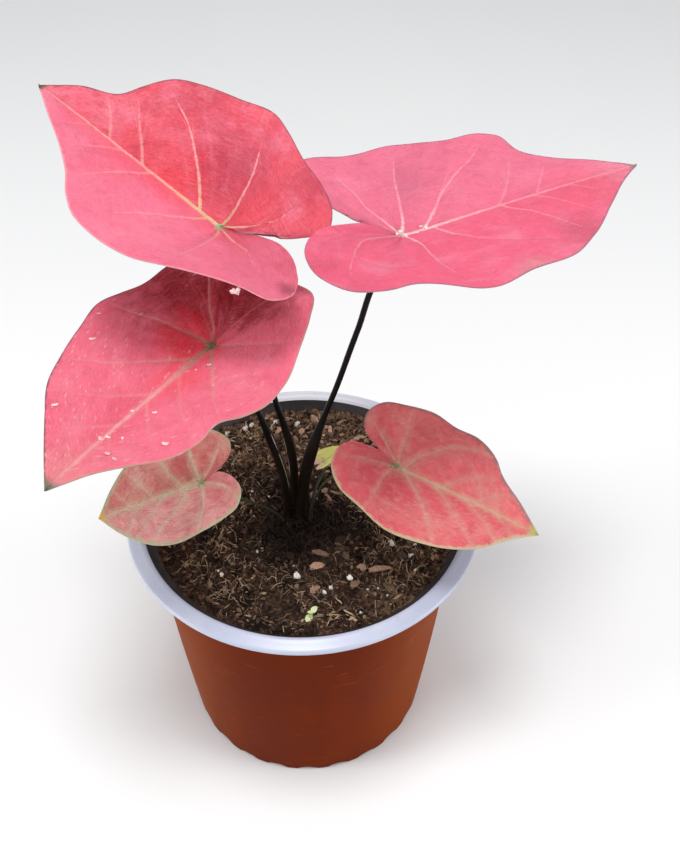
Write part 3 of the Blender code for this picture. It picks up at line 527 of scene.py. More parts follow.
class Finish:
    """A material, built up node by node."""

    def __init__(self, name, roughness, specular):
        self.material = bpy.data.materials.new(name)
        self.material.use_nodes = True
        self.nodes = self.material.node_tree.nodes
        self.links = self.material.node_tree.links
        self.shader = self.nodes["Principled BSDF"]
        self.shader.inputs["Roughness"].default_value = roughness
        self.shader.inputs["Specular IOR Level"].default_value = specular

    def feed(self, socket, value):
        """Link a pattern to a socket, or set a fixed value there."""
        if isinstance(value, Pattern):
            value = value.socket
        if isinstance(value, bpy.types.NodeSocket):
            self.links.new(value, socket)
        else:
            socket.default_value = value

    def node(self, kind, inputs, **settings):
        """Add a node with its settings and its inputs; give its outputs."""
        node = self.nodes.new(kind)
        for key, value in settings.items():
            setattr(node, key, value)
        for key, value in inputs.items():
            self.feed(node.inputs[key], value)
        return node.outputs

    def pattern(self, kind, inputs, output=0, **settings):
        """Add a node and give one of its outputs as a pattern."""
        return Pattern(self, self.node(kind, inputs, **settings)[output])

    def maths(self, operation, a, b=0.0):
        """Give a sum, product or other result of two numbers."""
        return self.pattern("ShaderNodeMath", {0: a, 1: b}, operation=operation)

    def mix(self, share, first, second):
        """Mix two colours."""
        return self.pattern("ShaderNodeMix", {0: share, 6: first, 7: second}, 2,
                            data_type="RGBA")

    def noise(self, where, scale, detail=3.0, roughness=0.55, distortion=0.0):
        """Give soft noise from 0 to 1."""
        inputs = {"Vector": where, "Scale": scale, "Detail": detail, "Roughness": roughness,
                  "Distortion": distortion}
        return self.pattern("ShaderNodeTexNoise", inputs, "Fac")

    def drawn_out(self, where, factors, *settings):
        """Give noise that is stretched along each axis."""
        return self.noise(self.mapped(where, Scale=factors), 1.0, *settings)

    def mapped(self, where, **moves):
        """Give coordinates that are turned or stretched."""
        return self.node("ShaderNodeMapping", {"Vector": where, **moves})[0]

    def place(self):
        """Give the piece's own coordinates, in metres."""
        return self.node("ShaderNodeTexCoord", {})["Object"]

    def split(self, vector):
        """Give a vector's three numbers."""
        return [Pattern(self, part) for part in self.node("ShaderNodeSeparateXYZ", {0: vector})]

    def stored(self, name):
        """Give three numbers that are stored at the piece's points, apart and together."""
        vector = self.node("ShaderNodeAttribute", {}, attribute_name=name)["Vector"]
        return *self.split(vector), vector

    def patch(self, along, across, spot, size, wander):
        """Give a soft round patch: 1 at a spot of the blade, 0 from its size outwards."""
        a, b = along - spot[0], across - spot[1]
        far = self.maths("SQRT", a * a + b * b) + wander
        return far.spread(0.1 * size, 1.15 * size, 1.0, 0.0)

    def bump(self, height, distance, strength):
        """Bump the surface by a height pattern."""
        inputs = {"Height": height, "Distance": distance * MM, "Strength": strength}
        return self.node("ShaderNodeBump", inputs)[0]

    def done(self, base, normal=None, roughness=None):
        """Join the patterns to the shader."""
        for name, value in (("Base Color", base), ("Normal", normal), ("Roughness", roughness)):
            if value is not None:
                self.feed(self.shader.inputs[name], value)
        return self.material

    def glow_through(self, base, normal, share):
        """Let some light through, as a thin leaf does."""
        behind = self.node("ShaderNodeBsdfTranslucent", {"Color": base, "Normal": normal})[0]
        both = self.node("ShaderNodeMixShader", {0: share, 1: self.shader.outputs[0], 2: behind})
        self.links.new(both[0], self.nodes["Material Output"].inputs["Surface"])


# How each blade is coloured. left and right are the two halves, heart the red along the midrib,
# cloud the paler mottling, shade_left and shade_right how strong the darker mottling is on each
# half. patches are soft areas, some of them painted shade: their colour, spot, size and share.
# rib_hub is the tint of the veins by the hub, up to hub_reach of their length. band is the pale
# zone beside the veins of the small leaves, fleck their red and pale flecks, speck the small pale
# dashes. under is the underside. Widths and sizes are in millimetres. PLAIN_LOOK is what a look
# has unless it says otherwise.
PLAIN_LOOK = {"band": 0.0, "band_share": 0.0, "fleck_share": 0.0, "speck": 0.0, "hub_reach": 0.35}
LOOKS = {
    "upper_left": {
        # The left half's lighter pink and the right half's deeper red are partly the leaf's own
        # colours and partly painted light and shade.
        "left": (253, 129, 158), "right": (242, 95, 112), "heart": (248, 72, 84),
        "cloud": (252, 142, 166), "shade": (190, 50, 74), "vein": (255, 178, 178),
        "rib": (255, 176, 172), "rib_hub": (240, 222, 160), "hub": (150, 192, 150),
        "edge_left": (244, 176, 186), "edge_right": (146, 90, 100), "tip": (44, 60, 50),
        "under": (214, 138, 148), "shade_left": 0.35, "shade_right": 0.9, "vein_width": 0.46,
        "rib_width": 0.62, "vein_share": 0.9, "edge_width": 0.45, "heart_share": 0.35,
        "hub_size": 1.5, "tip_size": 3.5,
        "patches": [((186, 54, 82), (12, -19), 20, 0.7), ((200, 66, 90), (38, -31), 16, 0.55),
                    ((186, 62, 88), (-16, -31), 13, 0.6), ((250, 70, 82), (24, -5), 15, 0.55),
                    ((250, 78, 90), (-6, -8), 13, 0.5), ((246, 96, 118), (44, 9), 16, 0.4),
                    ((251, 126, 146), (64, -9), 18, 0.75), ((253, 152, 174), (84, 2), 12, 0.6),
                    ((216, 92, 116), (-30, -4), 10, 0.4), ((140, 70, 76), (-37, 11), 5, 0.65)],
    },
    "upper_right": {
        "left": (249, 127, 156), "right": (253, 109, 141), "heart": (252, 100, 130),
        "cloud": (252, 140, 168), "shade": (208, 90, 122), "vein": (255, 172, 188),
        "rib": (254, 170, 180), "rib_hub": (255, 232, 226), "hub": (250, 236, 226),
        "edge_left": (166, 112, 132), "edge_right": (176, 124, 140), "tip": (142, 152, 136),
        "under": (222, 148, 164), "shade_left": 0.5, "shade_right": 0.4, "vein_width": 0.46,
        "rib_width": 0.62, "vein_share": 0.9, "edge_width": 0.5, "heart_share": 0.25,
        "hub_size": 1.2, "tip_size": 5.0,
        "patches": [((206, 88, 108), (56, -36), 17, 0.55), ((254, 112, 130), (80, -9), 18, 0.4),
                    ((196, 100, 132), (17, 25), 14, 0.3), ((222, 86, 114), (-46, -28), 12, 0.5),
                    ((253, 158, 176), (100, 0), 18, 0.7), ((226, 88, 116), (-41, -46), 11, 0.5),
                    ((206, 160, 150), (25, -47), 9, 0.5)],
    },
    "middle": {
        "left": (251, 124, 149), "right": (248, 118, 142), "heart": (240, 80, 96),
        "cloud": (251, 140, 162), "shade": (212, 70, 96), "vein": (234, 160, 152),
        "hub_reach": 0.6, "rib": (250, 182, 182), "rib_hub": (166, 150, 116), "hub": (96, 112, 74),
        "edge_left": (200, 168, 148), "edge_right": (126, 92, 98), "tip": (112, 128, 104),
        "under": (204, 132, 140), "shade_left": 0.45, "shade_right": 0.55, "vein_width": 0.5,
        "rib_width": 0.85, "vein_share": 0.7, "band": 1.8, "band_share": 0.3, "edge_width": 0.5,
        "heart_share": 0.3, "speck": 1.0, "speck_turn": -2.23, "hub_size": 2.2, "tip_size": 6.0,
        # The three darkest red patches are a painted shadow, cast by the upper left blade over
        # this blade's upper part.
        "patches": [((140, 4, 14), (-14, -26), 29, 0.95), ((140, 4, 14), (-26, 2), 22, 0.9),
                    ((244, 152, 156), (74, 0), 18, 0.6), ((168, 14, 24), (-14, -9), 16, 0.6),
                    ((246, 46, 58), (4, -7), 15, 0.8), ((255, 74, 86), (19, 4), 12, 0.55)],
    },
    "lower_left": {
        # The right half's darker colour is partly the leaf's own and partly painted shade from the
        # fold.
        "left": (255, 182, 180), "right": (228, 136, 124), "heart": (230, 104, 106),
        "cloud": (238, 190, 176), "shade": (204, 92, 100), "vein": (232, 220, 190),
        "rib": (226, 220, 182), "rib_hub": (220, 224, 178), "hub": (144, 164, 100),
        "edge_left": (204, 214, 172), "edge_right": (186, 192, 156), "tip": (242, 196, 92),
        "under": (206, 162, 146), "shade_left": 0.8, "shade_right": 1.0, "vein_width": 0.5,
        "rib_width": 0.5, "vein_share": 0.45, "band": 4.4, "band_share": 0.6, "fleck_share": 0.35,
        "edge_width": 1.3, "heart_share": 0.2, "speck": 0.5, "speck_turn": 0.9, "hub_size": 1.6,
        "tip_size": 5.0,
        "patches": [((210, 70, 74), (4, -8), 11, 0.5), ((226, 98, 116), (-9, 6), 12, 0.5),
                    # The last two brownish patches, along the midrib's right side, are a painted
                    # shadow of the fold.
                    ((120, 104, 60), (3, -2.5), 5, 0.5), ((170, 126, 84), (14, -2), 7, 0.4)],
    },
    "lower_right": {
        "left": (243, 124, 128), "right": (236, 112, 120), "heart": (240, 84, 98),
        "cloud": (242, 160, 152), "shade": (208, 74, 86), "vein": (226, 176, 158),
        "rib": (222, 192, 158), "rib_hub": (212, 200, 160), "hub": (112, 140, 84),
        "edge_left": (158, 132, 128), "edge_right": (206, 204, 162), "tip": (200, 204, 120),
        "under": (212, 158, 146), "shade_left": 0.8, "shade_right": 0.9, "vein_width": 0.5,
        "rib_width": 0.55, "vein_share": 0.42, "band": 4.8, "band_share": 0.6, "fleck_share": 0.35,
        "edge_width": 1.2, "heart_share": 0.2, "speck": 0.55, "speck_turn": -0.6, "hub_size": 1.7,
        "tip_size": 6.0,
        "patches": [((214, 64, 84), (2, -9), 15, 0.5), ((216, 68, 80), (8, 20), 13, 0.4),
                    ((196, 138, 122), (2, 0), 9, 0.55), ((212, 128, 116), (42, 4), 12, 0.35)],
    },
    "young": {
        "left": (255, 255, 150), "right": (250, 254, 140), "heart": (240, 246, 126),
        "cloud": (255, 252, 176), "shade": (222, 230, 110), "vein": (250, 250, 170),
        "rib": (226, 222, 150), "rib_hub": (214, 210, 140), "hub": (222, 196, 170),
        "edge_left": (222, 214, 140), "edge_right": (222, 214, 140), "tip": (176, 190, 90),
        "under": (196, 200, 120), "shade_left": 0.3, "shade_right": 0.3, "vein_width": 0.15,
        "rib_width": 0.25, "vein_share": 0.7, "edge_width": 0.3, "heart_share": 0.2,
        "hub_size": 1.0, "tip_size": 2.0,
        "patches": [((255, 222, 208), (-5, 0), 6, 0.95)],
    },
}


def vein_patterns(finish, look):
    """Give where the side veins, their forks, the midrib and the fine net show, from 0 to 1."""
    line, gap, t, flow = finish.stored("vein_place")
    along, across, rim, where = finish.stored("blade_place")
    strength, half, _, _ = finish.stored("vein_force")
    wander = finish.noise(where, 0.35, 3.0, 0.6).spread(0.25, 0.75, -0.35, 0.35)
    nearest = finish.maths("ROUND", line)
    off = line - nearest
    away = abs(abs(off) * gap + wander * 0.5)
    width = t.spread(0.0, 0.95, 1.2 * look["vein_width"], 0.35 * look["vein_width"])
    side = (away / width).spread(0.5, 1.5, 1.0, 0.0) * t.spread(0.72, 0.97, 1.0, 0.0) * strength
    chance = finish.pattern("ShaderNodeTexWhiteNoise", {"W": nearest}, "Value",
                            noise_dimensions="1D")
    run = (t - (chance * 0.25 + 0.3)) * 0.5
    fork = (abs(abs(off) - run) * gap / width).spread(0.4, 1.5, 1.0, 0.0)
    fork = fork * run.spread(0.0, 0.02) * t.spread(0.5, 0.8, 1.0, 0.0) * strength
    rib_width = along.spread(0.0, look["length"], look["rib_width"], 0.55 * look["rib_width"])
    rib = (abs(across + wander * 0.6) / rib_width).spread(0.6, 1.5, 1.0, 0.0)
    band = max(look["band"], 0.1)
    band = (away / t.spread(0.0, 1.0, band, 0.45 * band)).spread(0.0, 1.0, 1.0, 0.0)
    net = finish.drawn_out(flow, (2.6, 0.0, 9.0), 3.0, 0.55, 0.8)
    return SimpleNamespace(
        side=side, fork=fork, rib=rib * along.spread(-1.5, -0.5), band=band * strength,
        net=abs(net - 0.5).spread(0.0, 0.022, 1.0, 0.0),
        streak=finish.drawn_out(flow, (7.0, 0.0, 1.6), 4.0, 0.6, 0.4),
        wrinkle=finish.drawn_out(where, (0.28, 0.62, 1.0), 2.5, 0.5, 1.2),
        t=t, along=along, across=across, rim=rim, where=where, half=half)


def speck_pattern(finish, vein, share, turn):
    """Give where the small pale dashes lie, mostly on the outer part of the blade."""
    warp = finish.noise(vein.where, 0.5, 2.0) * 0.6
    where = finish.node("ShaderNodeVectorMath", {0: vein.where, 1: warp}, operation="ADD")[0]
    where = finish.mapped(finish.mapped(where, Rotation=(0.0, 0.0, turn)),
                          Scale=(0.27, 0.44, 1.0))
    cell = finish.node("ShaderNodeTexVoronoi", {"Vector": where, "Scale": 1.0}, feature="F1")
    chance = finish.pattern("ShaderNodeSeparateColor", {0: cell["Color"]})
    limit = vein.along.spread(-5.0, 40.0, 0.88, 0.62)
    limit = limit + finish.noise(vein.where, 0.06, 2.0).spread(0.38, 0.6, 0.2, 0.0)
    kept = (chance - limit).spread(0.0, 0.08)
    size = chance.spread(0.6, 1.0, 0.2, 0.42)
    dot = (Pattern(finish, cell["Distance"]) / size).spread(0.2, 1.3, 1.0, 0.0)
    return dot * kept * share


def blade_ground(finish, look, vein, tint, on_left):
    """Give the colours of the two halves, with their mottling, heart and soft patches."""
    where, along, across = vein.where, vein.along, vein.across
    base = finish.mix(on_left, tint["right"], tint["left"])
    cloud = finish.noise(where, 0.055, 4.0, 0.6).spread(0.45, 0.72, 0.0, 0.7)
    base = base.painted(cloud, tint["cloud"])
    heart = abs(across).spread(0.5, 0.13 * look["length"], look["heart_share"], 0.0)
    base = base.painted(heart * vein.t.spread(0.4, 0.9, 1.0, 0.2), tint["heart"])
    drift = finish.noise(where, 0.13, 4.0, 0.7)
    wander = drift.spread(0.25, 0.75, -0.5, 0.5)
    uneven = vein.wrinkle.spread(0.38, 0.6, 0.82, 1.0)
    for shade, spot, size, share in look["patches"]:
        patch = finish.patch(along, across, spot, size, wander * (0.5 * size))
        base = base.painted(patch * share * uneven, colour(*shade))
    mottling = on_left * (look["shade_left"] - look["shade_right"]) + look["shade_right"]
    blotch = finish.noise(where, 0.2, 2.5, 0.5, 0.3).spread(0.46, 0.72)
    depth = vein.wrinkle.spread(0.46, 0.74).at_least(blotch) * mottling
    depth = depth * drift.spread(0.35, 0.6, 0.3, 1.0)
    base = base.painted(depth * 0.6, tint["shade"])
    base = base.painted(vein.streak.spread(0.52, 0.72, 0.0, 0.2), tint["cloud"])
    base = base.painted(vein.streak.spread(0.46, 0.3, 0.0, 0.22) * mottling, tint["shade"])
    if look["fleck_share"]:
        fleck = finish.noise(where, 0.22, 3.0, 0.5, 0.4)
        base = base.painted(fleck.spread(0.46, 0.68, 0.0, look["fleck_share"]), tint["heart"])
        base = base.painted(fleck.spread(0.5, 0.3, 0.0, look["fleck_share"]), tint["cloud"])
    return base


def with_veins(finish, look, vein, tint, base):
    """Paint on the veins: pale bands, fine net, forks, side veins and midrib."""
    where, along, length = vein.where, vein.along, look["length"]
    if look["band_share"]:
        ragged = finish.noise(where, 0.3, 3.0, 0.55).spread(0.34, 0.66, 0.35, 1.0)
        base = base.painted(vein.band * ragged * look["band_share"], tint["vein"])
        near = abs(vein.across).spread(0.2, 3.2, 1.0, 0.0) * along.spread(-1.0, 1.0)
        base = base.painted(near * (ragged * look["band_share"]), tint["rib"])
    base = base.painted(vein.net * 0.13, tint["vein"])
    base = base.painted(vein.fork * 0.22, tint["vein"])
    broken = finish.noise(where, 0.5, 3.0, 0.7).spread(0.3, 0.6, 0.6, 1.0)
    rib_tint = finish.mix(along.spread(1.0, 0.45 * length), tint["rib_hub"], tint["rib"])
    vein_tint = finish.mix(vein.t.spread(0.0, look["hub_reach"]), rib_tint, tint["vein"])
    base = base.painted(vein.side * broken * look["vein_share"], vein_tint)
    shown = 0.4 + 0.6 * look["vein_share"]
    fade = along.spread(0.6 * length, 0.95 * length, shown, 0.7 * shown)
    return base.painted(vein.rib * (broken * fade), rib_tint)


def with_margin(finish, look, vein, tint, on_left, base):
    """Paint on the hub, the margin, the tip and the specks."""
    where, along, across, length = vein.where, vein.along, vein.across, look["length"]
    rag = finish.noise(where, 0.7, 3.0).spread(0.3, 0.7, -1.4, 1.4)
    hub = finish.patch(along, across, (0.0, 0.0), 1.3 * look["hub_size"], rag)
    base = base.painted(hub * 0.9, tint["hub"])
    edge_width = finish.noise(where, 0.4, 4.0, 0.7).spread(0.3, 0.7, 0.35, 1.7)
    edge = (vein.rim / (edge_width * look["edge_width"])).spread(0.4, 1.4, 0.8, 0.0)
    clear = abs(across).spread(4.0, 10.0).at_least(along.spread(0.0, 6.0))
    base = base.painted(clear * edge, finish.mix(on_left, tint["edge_right"], tint["edge_left"]))
    tip = along.spread(length - look["tip_size"], length - 0.2 * look["tip_size"], 0.0, 0.95)
    base = base.painted(tip, tint["tip"])
    if look["speck"]:
        speck = speck_pattern(finish, vein, look["speck"], look["speck_turn"])
        base = base.painted(speck * 0.6, colour(254, 192, 198))
    return base


def blade_finish(name, look):
    """Make the finish of a blade's upper face."""
    finish = Finish(f"{name}_upper_face", 0.5, 0.28)
    vein = vein_patterns(finish, look)
    tint = {key: colour(*value) for key, value in look.items() if isinstance(value, tuple)}
    on_left = vein.across.spread(-1.0, 1.0)
    on_left = on_left + vein.along.spread(1.0, -3.0) * (vein.half - on_left)
    base = blade_ground(finish, look, vein, tint, on_left)
    base = with_veins(finish, look, vein, tint, base)
    base = with_margin(finish, look, vein, tint, on_left, base)
    grain = finish.noise(vein.where, 2.0, 3.0, 0.6)
    height = grain * 0.1 + vein.streak * 0.6 + vein.wrinkle * 2.1 - vein.net * 0.25
    normal = finish.bump(height, 0.32, 0.75)
    finish.done(base, normal, grain.spread(0.3, 0.7, 0.44, 0.58))
    finish.glow_through(base, normal, 0.22)
    return finish.material


def underside_finish(name, look):
    """Make the finish of a blade's lower face: duller, with its veins standing out."""
    finish = Finish(f"{name}_lower_face", 0.62, 0.3)
    vein = vein_patterns(finish, look)
    pale = colour(*[min(255, c + 22) for c in look["under"]])
    dark = colour(*[int(0.86 * c) for c in look["under"]])
    vein_tint = colour(*[int(0.5 * (a + b)) for a, b in zip(look["rib"], look["hub"])])
    soft = finish.noise(vein.where, 0.12, 4.0).spread(0.35, 0.65)
    base = finish.mix(soft, colour(*look["under"]), dark)
    base = base.painted(vein.net * 0.35, pale)
    base = base.painted(vein.fork * 0.7, pale)
    base = base.painted(vein.side.at_least(vein.rib) * 0.9, vein_tint)
    normal = finish.bump(vein.net + vein.fork * 1.5, 0.15, 0.7)
    finish.done(base, normal)
    finish.glow_through(base, normal, 0.22)
    return finish.material


# ---- Blades

def leaf_axes(leaf):
    """Give a leaf's hub, midrib direction, sideways direction and facing."""
    facing = Vector(leaf["facing"]).normalized()
    heading = Vector(leaf["heading"])
    heading = (heading - heading.dot(facing) * facing).normalized()
    hub = Vector(leaf["hub"]) + Vector((0.0, 0.0, POT_HEIGHT))
    return hub, heading, facing.cross(heading), facing


def blade_height(leaf, along, across):
    """Give how far the blade stands off its own plane."""
    length = leaf["length"]
    a = along / length
    b = across / length
    lobe = 0.5 * (np.sqrt(a**2 + LOBE_ROUND**2) - a)
    rise = leaf["fold"] * (np.sqrt(b**2 + FOLD_ROUND**2) - FOLD_ROUND)
    rise -= leaf["arch"] * np.clip(a, 0.0, None) ** 2
    rise -= leaf["cross"] * b**2
    rise += leaf["lobe_lift"] * (lobe - 0.5 * LOBE_ROUND)
    rise -= leaf["lobe_drop"] * lobe**2
    return rise * length


def vein_field(veins, notch, length, spots):
    """Give each spot's vein line, the gap between lines there, its share of the way out and its
    vein's strength.

    A family of lines fills the half blade, drawn between its neighbouring veins. Each spot takes
    the nearest point of the family, and then a small step along and across the lines there.
    """
    between, steps = 24, 80
    lines = [[(0.0, 0.0), notch], *[line for _, line in veins], [(0.955 * length, 0), (length, 0)]]
    drawn = np.stack([smooth_line(line, steps + 1) for line in lines])
    number = np.linspace(0, len(lines) - 1, between * (len(lines) - 1) + 1)
    low = np.minimum(number.astype(int), len(lines) - 2)
    share = (number - low)[:, None, None]
    family = (1 - share) * drawn[low] + share * drawn[low + 1]
    over = np.gradient(family, axis=0) * between
    ahead = np.gradient(family, axis=1) * steps
    tree = KDTree(family.shape[0] * family.shape[1])
    for k, (x, y) in enumerate(family.reshape(-1, 2).tolist()):
        tree.insert((x, y, 0.0), k)
    tree.balance()
    nearest = np.array([tree.find((x, y, 0.0))[1] for x, y in spots.tolist()])
    i, j = nearest // (steps + 1), nearest % (steps + 1)
    off = spots - family[i, j]
    over, ahead = over[i, j], ahead[i, j]
    area = over[:, 0] * ahead[:, 1] - over[:, 1] * ahead[:, 0]
    area = np.where(np.abs(area) < 1e-3, 1e-3, area)
    step = (off[:, 0] * ahead[:, 1] - off[:, 1] * ahead[:, 0]) / area
    line = number[i] + np.clip(step, -1.0 / between, 1.0 / between)
    run = (over[:, 0] * off[:, 1] - over[:, 1] * off[:, 0]) / area
    run = (j / steps) + np.clip(run, -1.0 / steps, 1.0 / steps)
    gap = np.abs(area) / np.maximum(np.linalg.norm(ahead, axis=1), 1e-3)
    strengths = np.array([0.0, *[strength for strength, _ in veins], 0.0])
    return line, gap, run, strengths[np.rint(np.clip(line, 0, len(lines) - 1)).astype(int)]


def half_blade(name, leaf, side, margin, roots, steps):
    """Lay one half's points on its plane, with what its height and finish need to know."""
    start = np.stack([roots, np.zeros_like(roots)], axis=1)
    reach = np.linalg.norm(margin - start, axis=1)
    middle = 0.5 * (start + margin) - VEIN_ARCH * reach[:, None] * np.array([1.0, 0.0])
    t = (np.linspace(0.0, 1.0, steps + 1) ** 1.3)[None, :, None]
    spots = ((1 - t)**2 * start[:, None] + 2 * t * (1 - t) * middle[:, None]
             + t**2 * margin[:, None])
    turn = np.linspace(0.0, 1.0, len(margin))
    along, across = spots[..., 0], spots[..., 1]
    field = vein_field(VEINS[name][side], leaf["notch"], leaf["length"], spots.reshape(-1, 2))
    line, gap, run, strength = [values.reshape(along.shape) for values in field]
    line[0], strength[0] = 0.0, 0.0
    share = t[..., 0] + 0 * along
    wave = np.sin(2 * math.pi * (RIPPLES * turn + RIPPLE_START * side)) * np.sin(math.pi * turn)
    height = blade_height(leaf, along, across) + leaf["wave"] * wave[:, None] * share**3
    off = line - np.round(line)
    size = leaf["length"] / BIG_BLADE
    window = np.sin(math.pi * share) * ease(across**2 / 30.0)
    between = 0.5 * (1 - np.cos(2 * math.pi * off))
    height += SWELL * size * window * (0.4 + strength) * between
    height -= VEIN_SINK * size * strength * np.exp(-(off * gap / (1.1 * size))**2) * window**0.5
    height += PUCKER * size * rough(along, across + 200, 7.0 * size, 5) * window
    height += FINE_PUCKER * size * rough(along + 50, across + 150, 3.6 * size, 6) * window
    height -= RIB_SINK * size * np.exp(-(across / (1.5 * size))**2) * ease(share * 4)
    return along, across, height, line, gap, run, (1 - share) * reach[:, None], strength


def make_blade(name, leaf, slot):
    """Make one leaf blade."""
    length = leaf["length"]
    size = max(0.5, min(1.0, length / 80.0))
    lines, steps = 2 * int(BLADE_LINES * size), int(BLADE_STEPS * size)
    sides = {1: leaf["left"], -1: leaf["right"]}
    margins = {s: smooth_line([leaf["notch"], *sides[s], (length, 0)], lines + 1) for s in sides}
    start = VEIN_START * length / 87.0
    mean = np.mean([margin[:, 0] for margin in margins.values()], axis=0)
    share = np.clip((mean - start) / (length - start), 0.0, 1.0)
    roots = length * np.maximum.accumulate(share) ** VEIN_SPREAD
    halves = [half_blade(name, leaf, s, margins[s], roots, steps) for s in sides]
    piece, column, row = add_grid(f"blade_{name}", 2 * steps, lines)
    left = column < steps
    at = np.abs(column - steps)
    along, across, height, line, gap, run, rim, strength = [
        np.where(left, a[row, at], b[row, at]) for a, b in zip(*halves)]
    hub, heading, sideways, facing = [np.array(axis) for axis in leaf_axes(leaf)]
    place_points(piece, hub + along[:, None] * heading + across[:, None] * sideways
                 + height[:, None] * facing)
    give_vectors(piece, "vein_place", line, gap, run)
    give_vectors(piece, "blade_place", along, across, rim)
    give_vectors(piece, "vein_force", strength, left * 1.0, 0 * strength)
    thin = piece.vertex_groups.new(name="thickness")
    for k, weight in enumerate(THIN_MARGIN + (1 - THIN_MARGIN) * ease(rim / (5.0 * size))):
        thin.add([k], float(weight), "REPLACE")
    merge_points(piece, 0.002)
    look = {**PLAIN_LOOK, **LOOKS[name], "length": length}
    for finish in (blade_finish(name, look), underside_finish(name, look)):
        piece.data.materials.append(finish)
    thick = piece.modifiers.new("thickness", "SOLIDIFY")
    thick.thickness = BLADE_SHOWN * BLADE * MM
    thick.offset = -1.0
    thick.vertex_group = "thickness"
    thick.thickness_vertex_group = 0.3
    thick.material_offset = 1
    thick.material_offset_rim = 0
    apply_modifiers(piece)
    piece.vertex_groups.clear()
    dress(piece, (), 60, slot, f"leaf_{name}")


# ---- Stalks

def stalk_frames(path, last):
    """Give two sideways directions at each point of a path."""
    side = Vector((1.0, 0.0, 0.0))
    sides, others = [], []
    for k in range(len(path)):
        ahead = Vector(path[min(k + 1, len(path) - 1)] - path[max(k - 1, 0)])
        if k == len(path) - 1:
            ahead = last
        ahead.normalize()
        side = (side - side.dot(ahead) * ahead).normalized()
        sides.append(np.array(side))
        others.append(np.array(ahead.cross(side)))
    return np.array(sides), np.array(others)


def make_stalk(name, leaf, slot, material, edge_angle):
    """Make one stalk; its sheath wraps it and ends in a thin dry edge."""
    hub, _, _, facing = leaf_axes(leaf)
    end, neck = hub - facing * (BLADE + GAP), hub - facing * leaf["neck"]
    lifted = [Vector(p) + Vector((0.0, 0.0, POT_HEIGHT)) for p in leaf["stalk"]]
    path = smooth_line([tuple(p) for p in [*lifted, neck, end]], STALK_STEPS)
    path = np.concatenate([[(*path[0][:2], TUBER_TOP + GAP)], path])
    sides, others = stalk_frames(path, facing.copy())
    path, sides, others = [np.concatenate([values[:1], values, values[-1:]])
                           for values in (path, sides, others)]
    over = path[:, 2] - POT_HEIGHT
    swell = ease((leaf["sheath_top"] - over) / SHEATH_TAPER + 0.5)
    radius = leaf["stalk_radius"] + (leaf["sheath_radius"] - leaf["stalk_radius"]) * swell
    radius = radius * (THIN_STALK_SHOWN if leaf["stalk_radius"] < 1.0 else STALK_SHOWN)
    rows = len(path) - 1
    piece, column, row = add_grid(f"petiole_{name}", STALK_SIDES, rows)
    angle = 2 * math.pi * column / STALK_SIDES
    from_edge = np.mod(angle - edge_angle + math.pi, 2 * math.pi) - math.pi
    lap = np.exp(-(from_edge / LAP_WIDTH)**2)
    rings = radius[row] * (1 + LAP_RIDGE * lap * swell[row])
    rings *= 1 + 0.03 * rough(8 * np.cos(angle) + 50, over[row] + 8 * np.sin(angle) + 300, 9.0, 11)
    rings = np.where((row == 0) | (row == rows), 0.0, rings)
    place_points(piece, path[row] + rings[:, None] * (np.cos(angle)[:, None] * sides[row]
                                                      + np.sin(angle)[:, None] * others[row]))
    give_vectors(piece, "stalk_place", column / STALK_SIDES, over[row], lap * swell[row])
    merge_points(piece, 0.005)
    outward(piece)
    dress(piece, [material], 60, slot, f"stalk_{name}")


def dark_stalk_finish():
    """Make the glossy near-black finish of the big stalks, with a dull olive sheath."""
    finish = Finish("dark_stalk", 0.42, 0.1)
    _, over, lap, where = finish.stored("stalk_place")
    streak = finish.drawn_out(where, (26.0, 0.05, 1.0))
    base = finish.mix(streak.spread(0.35, 0.7), colour(9, 6, 6), colour(22, 15, 12))
    base = base.painted(over.spread(34.0, 52.0, 0.6, 0.0), colour(40, 30, 19))
    base = base.painted(over.spread(84.0, 150.0, 0.0, 0.4), colour(44, 24, 22))
    dry = lap.spread(0.6, 0.85) * over.spread(9.0, 20.0)
    ragged = finish.drawn_out(where, (3.0, 0.2, 1.0)).spread(0.36, 0.5)
    base = base.painted(dry * ragged, colour(176, 164, 148))
    return finish.done(base, finish.bump(streak, 0.12, 0.5), over.spread(20.0, 60.0, 0.55, 0.36))


def pale_stalk_finish():
    """Make the finish of the thin grey-green stalks, with painted shade towards their base."""
    finish = Finish("pale_stalk", 0.5, 0.35)
    _, over, _, where = finish.stored("stalk_place")
    streak = finish.drawn_out(where, (20.0, 0.08, 1.0))
    base = finish.mix(streak.spread(0.35, 0.7), colour(70, 84, 56), colour(104, 116, 80))
    # Painted shade: the stalks are darkened towards their base.
    base = base.painted(over.spread(-6.0, 34.0, 0.92, 0.25), colour(36, 34, 24))
    return finish.done(base, finish.bump(streak, 0.08, 0.5))


# ---- Pot

def outer_radius(height):
    """Give the pot wall's outer radius at a height."""
    share = height / (POT_HEIGHT - SHOULDER_DROP)
    bulge = 4 * WALL_BULGE * share * (1 - share)
    return FOOT_RADIUS + (SHOULDER_RADIUS - FOOT_RADIUS) * share + bulge


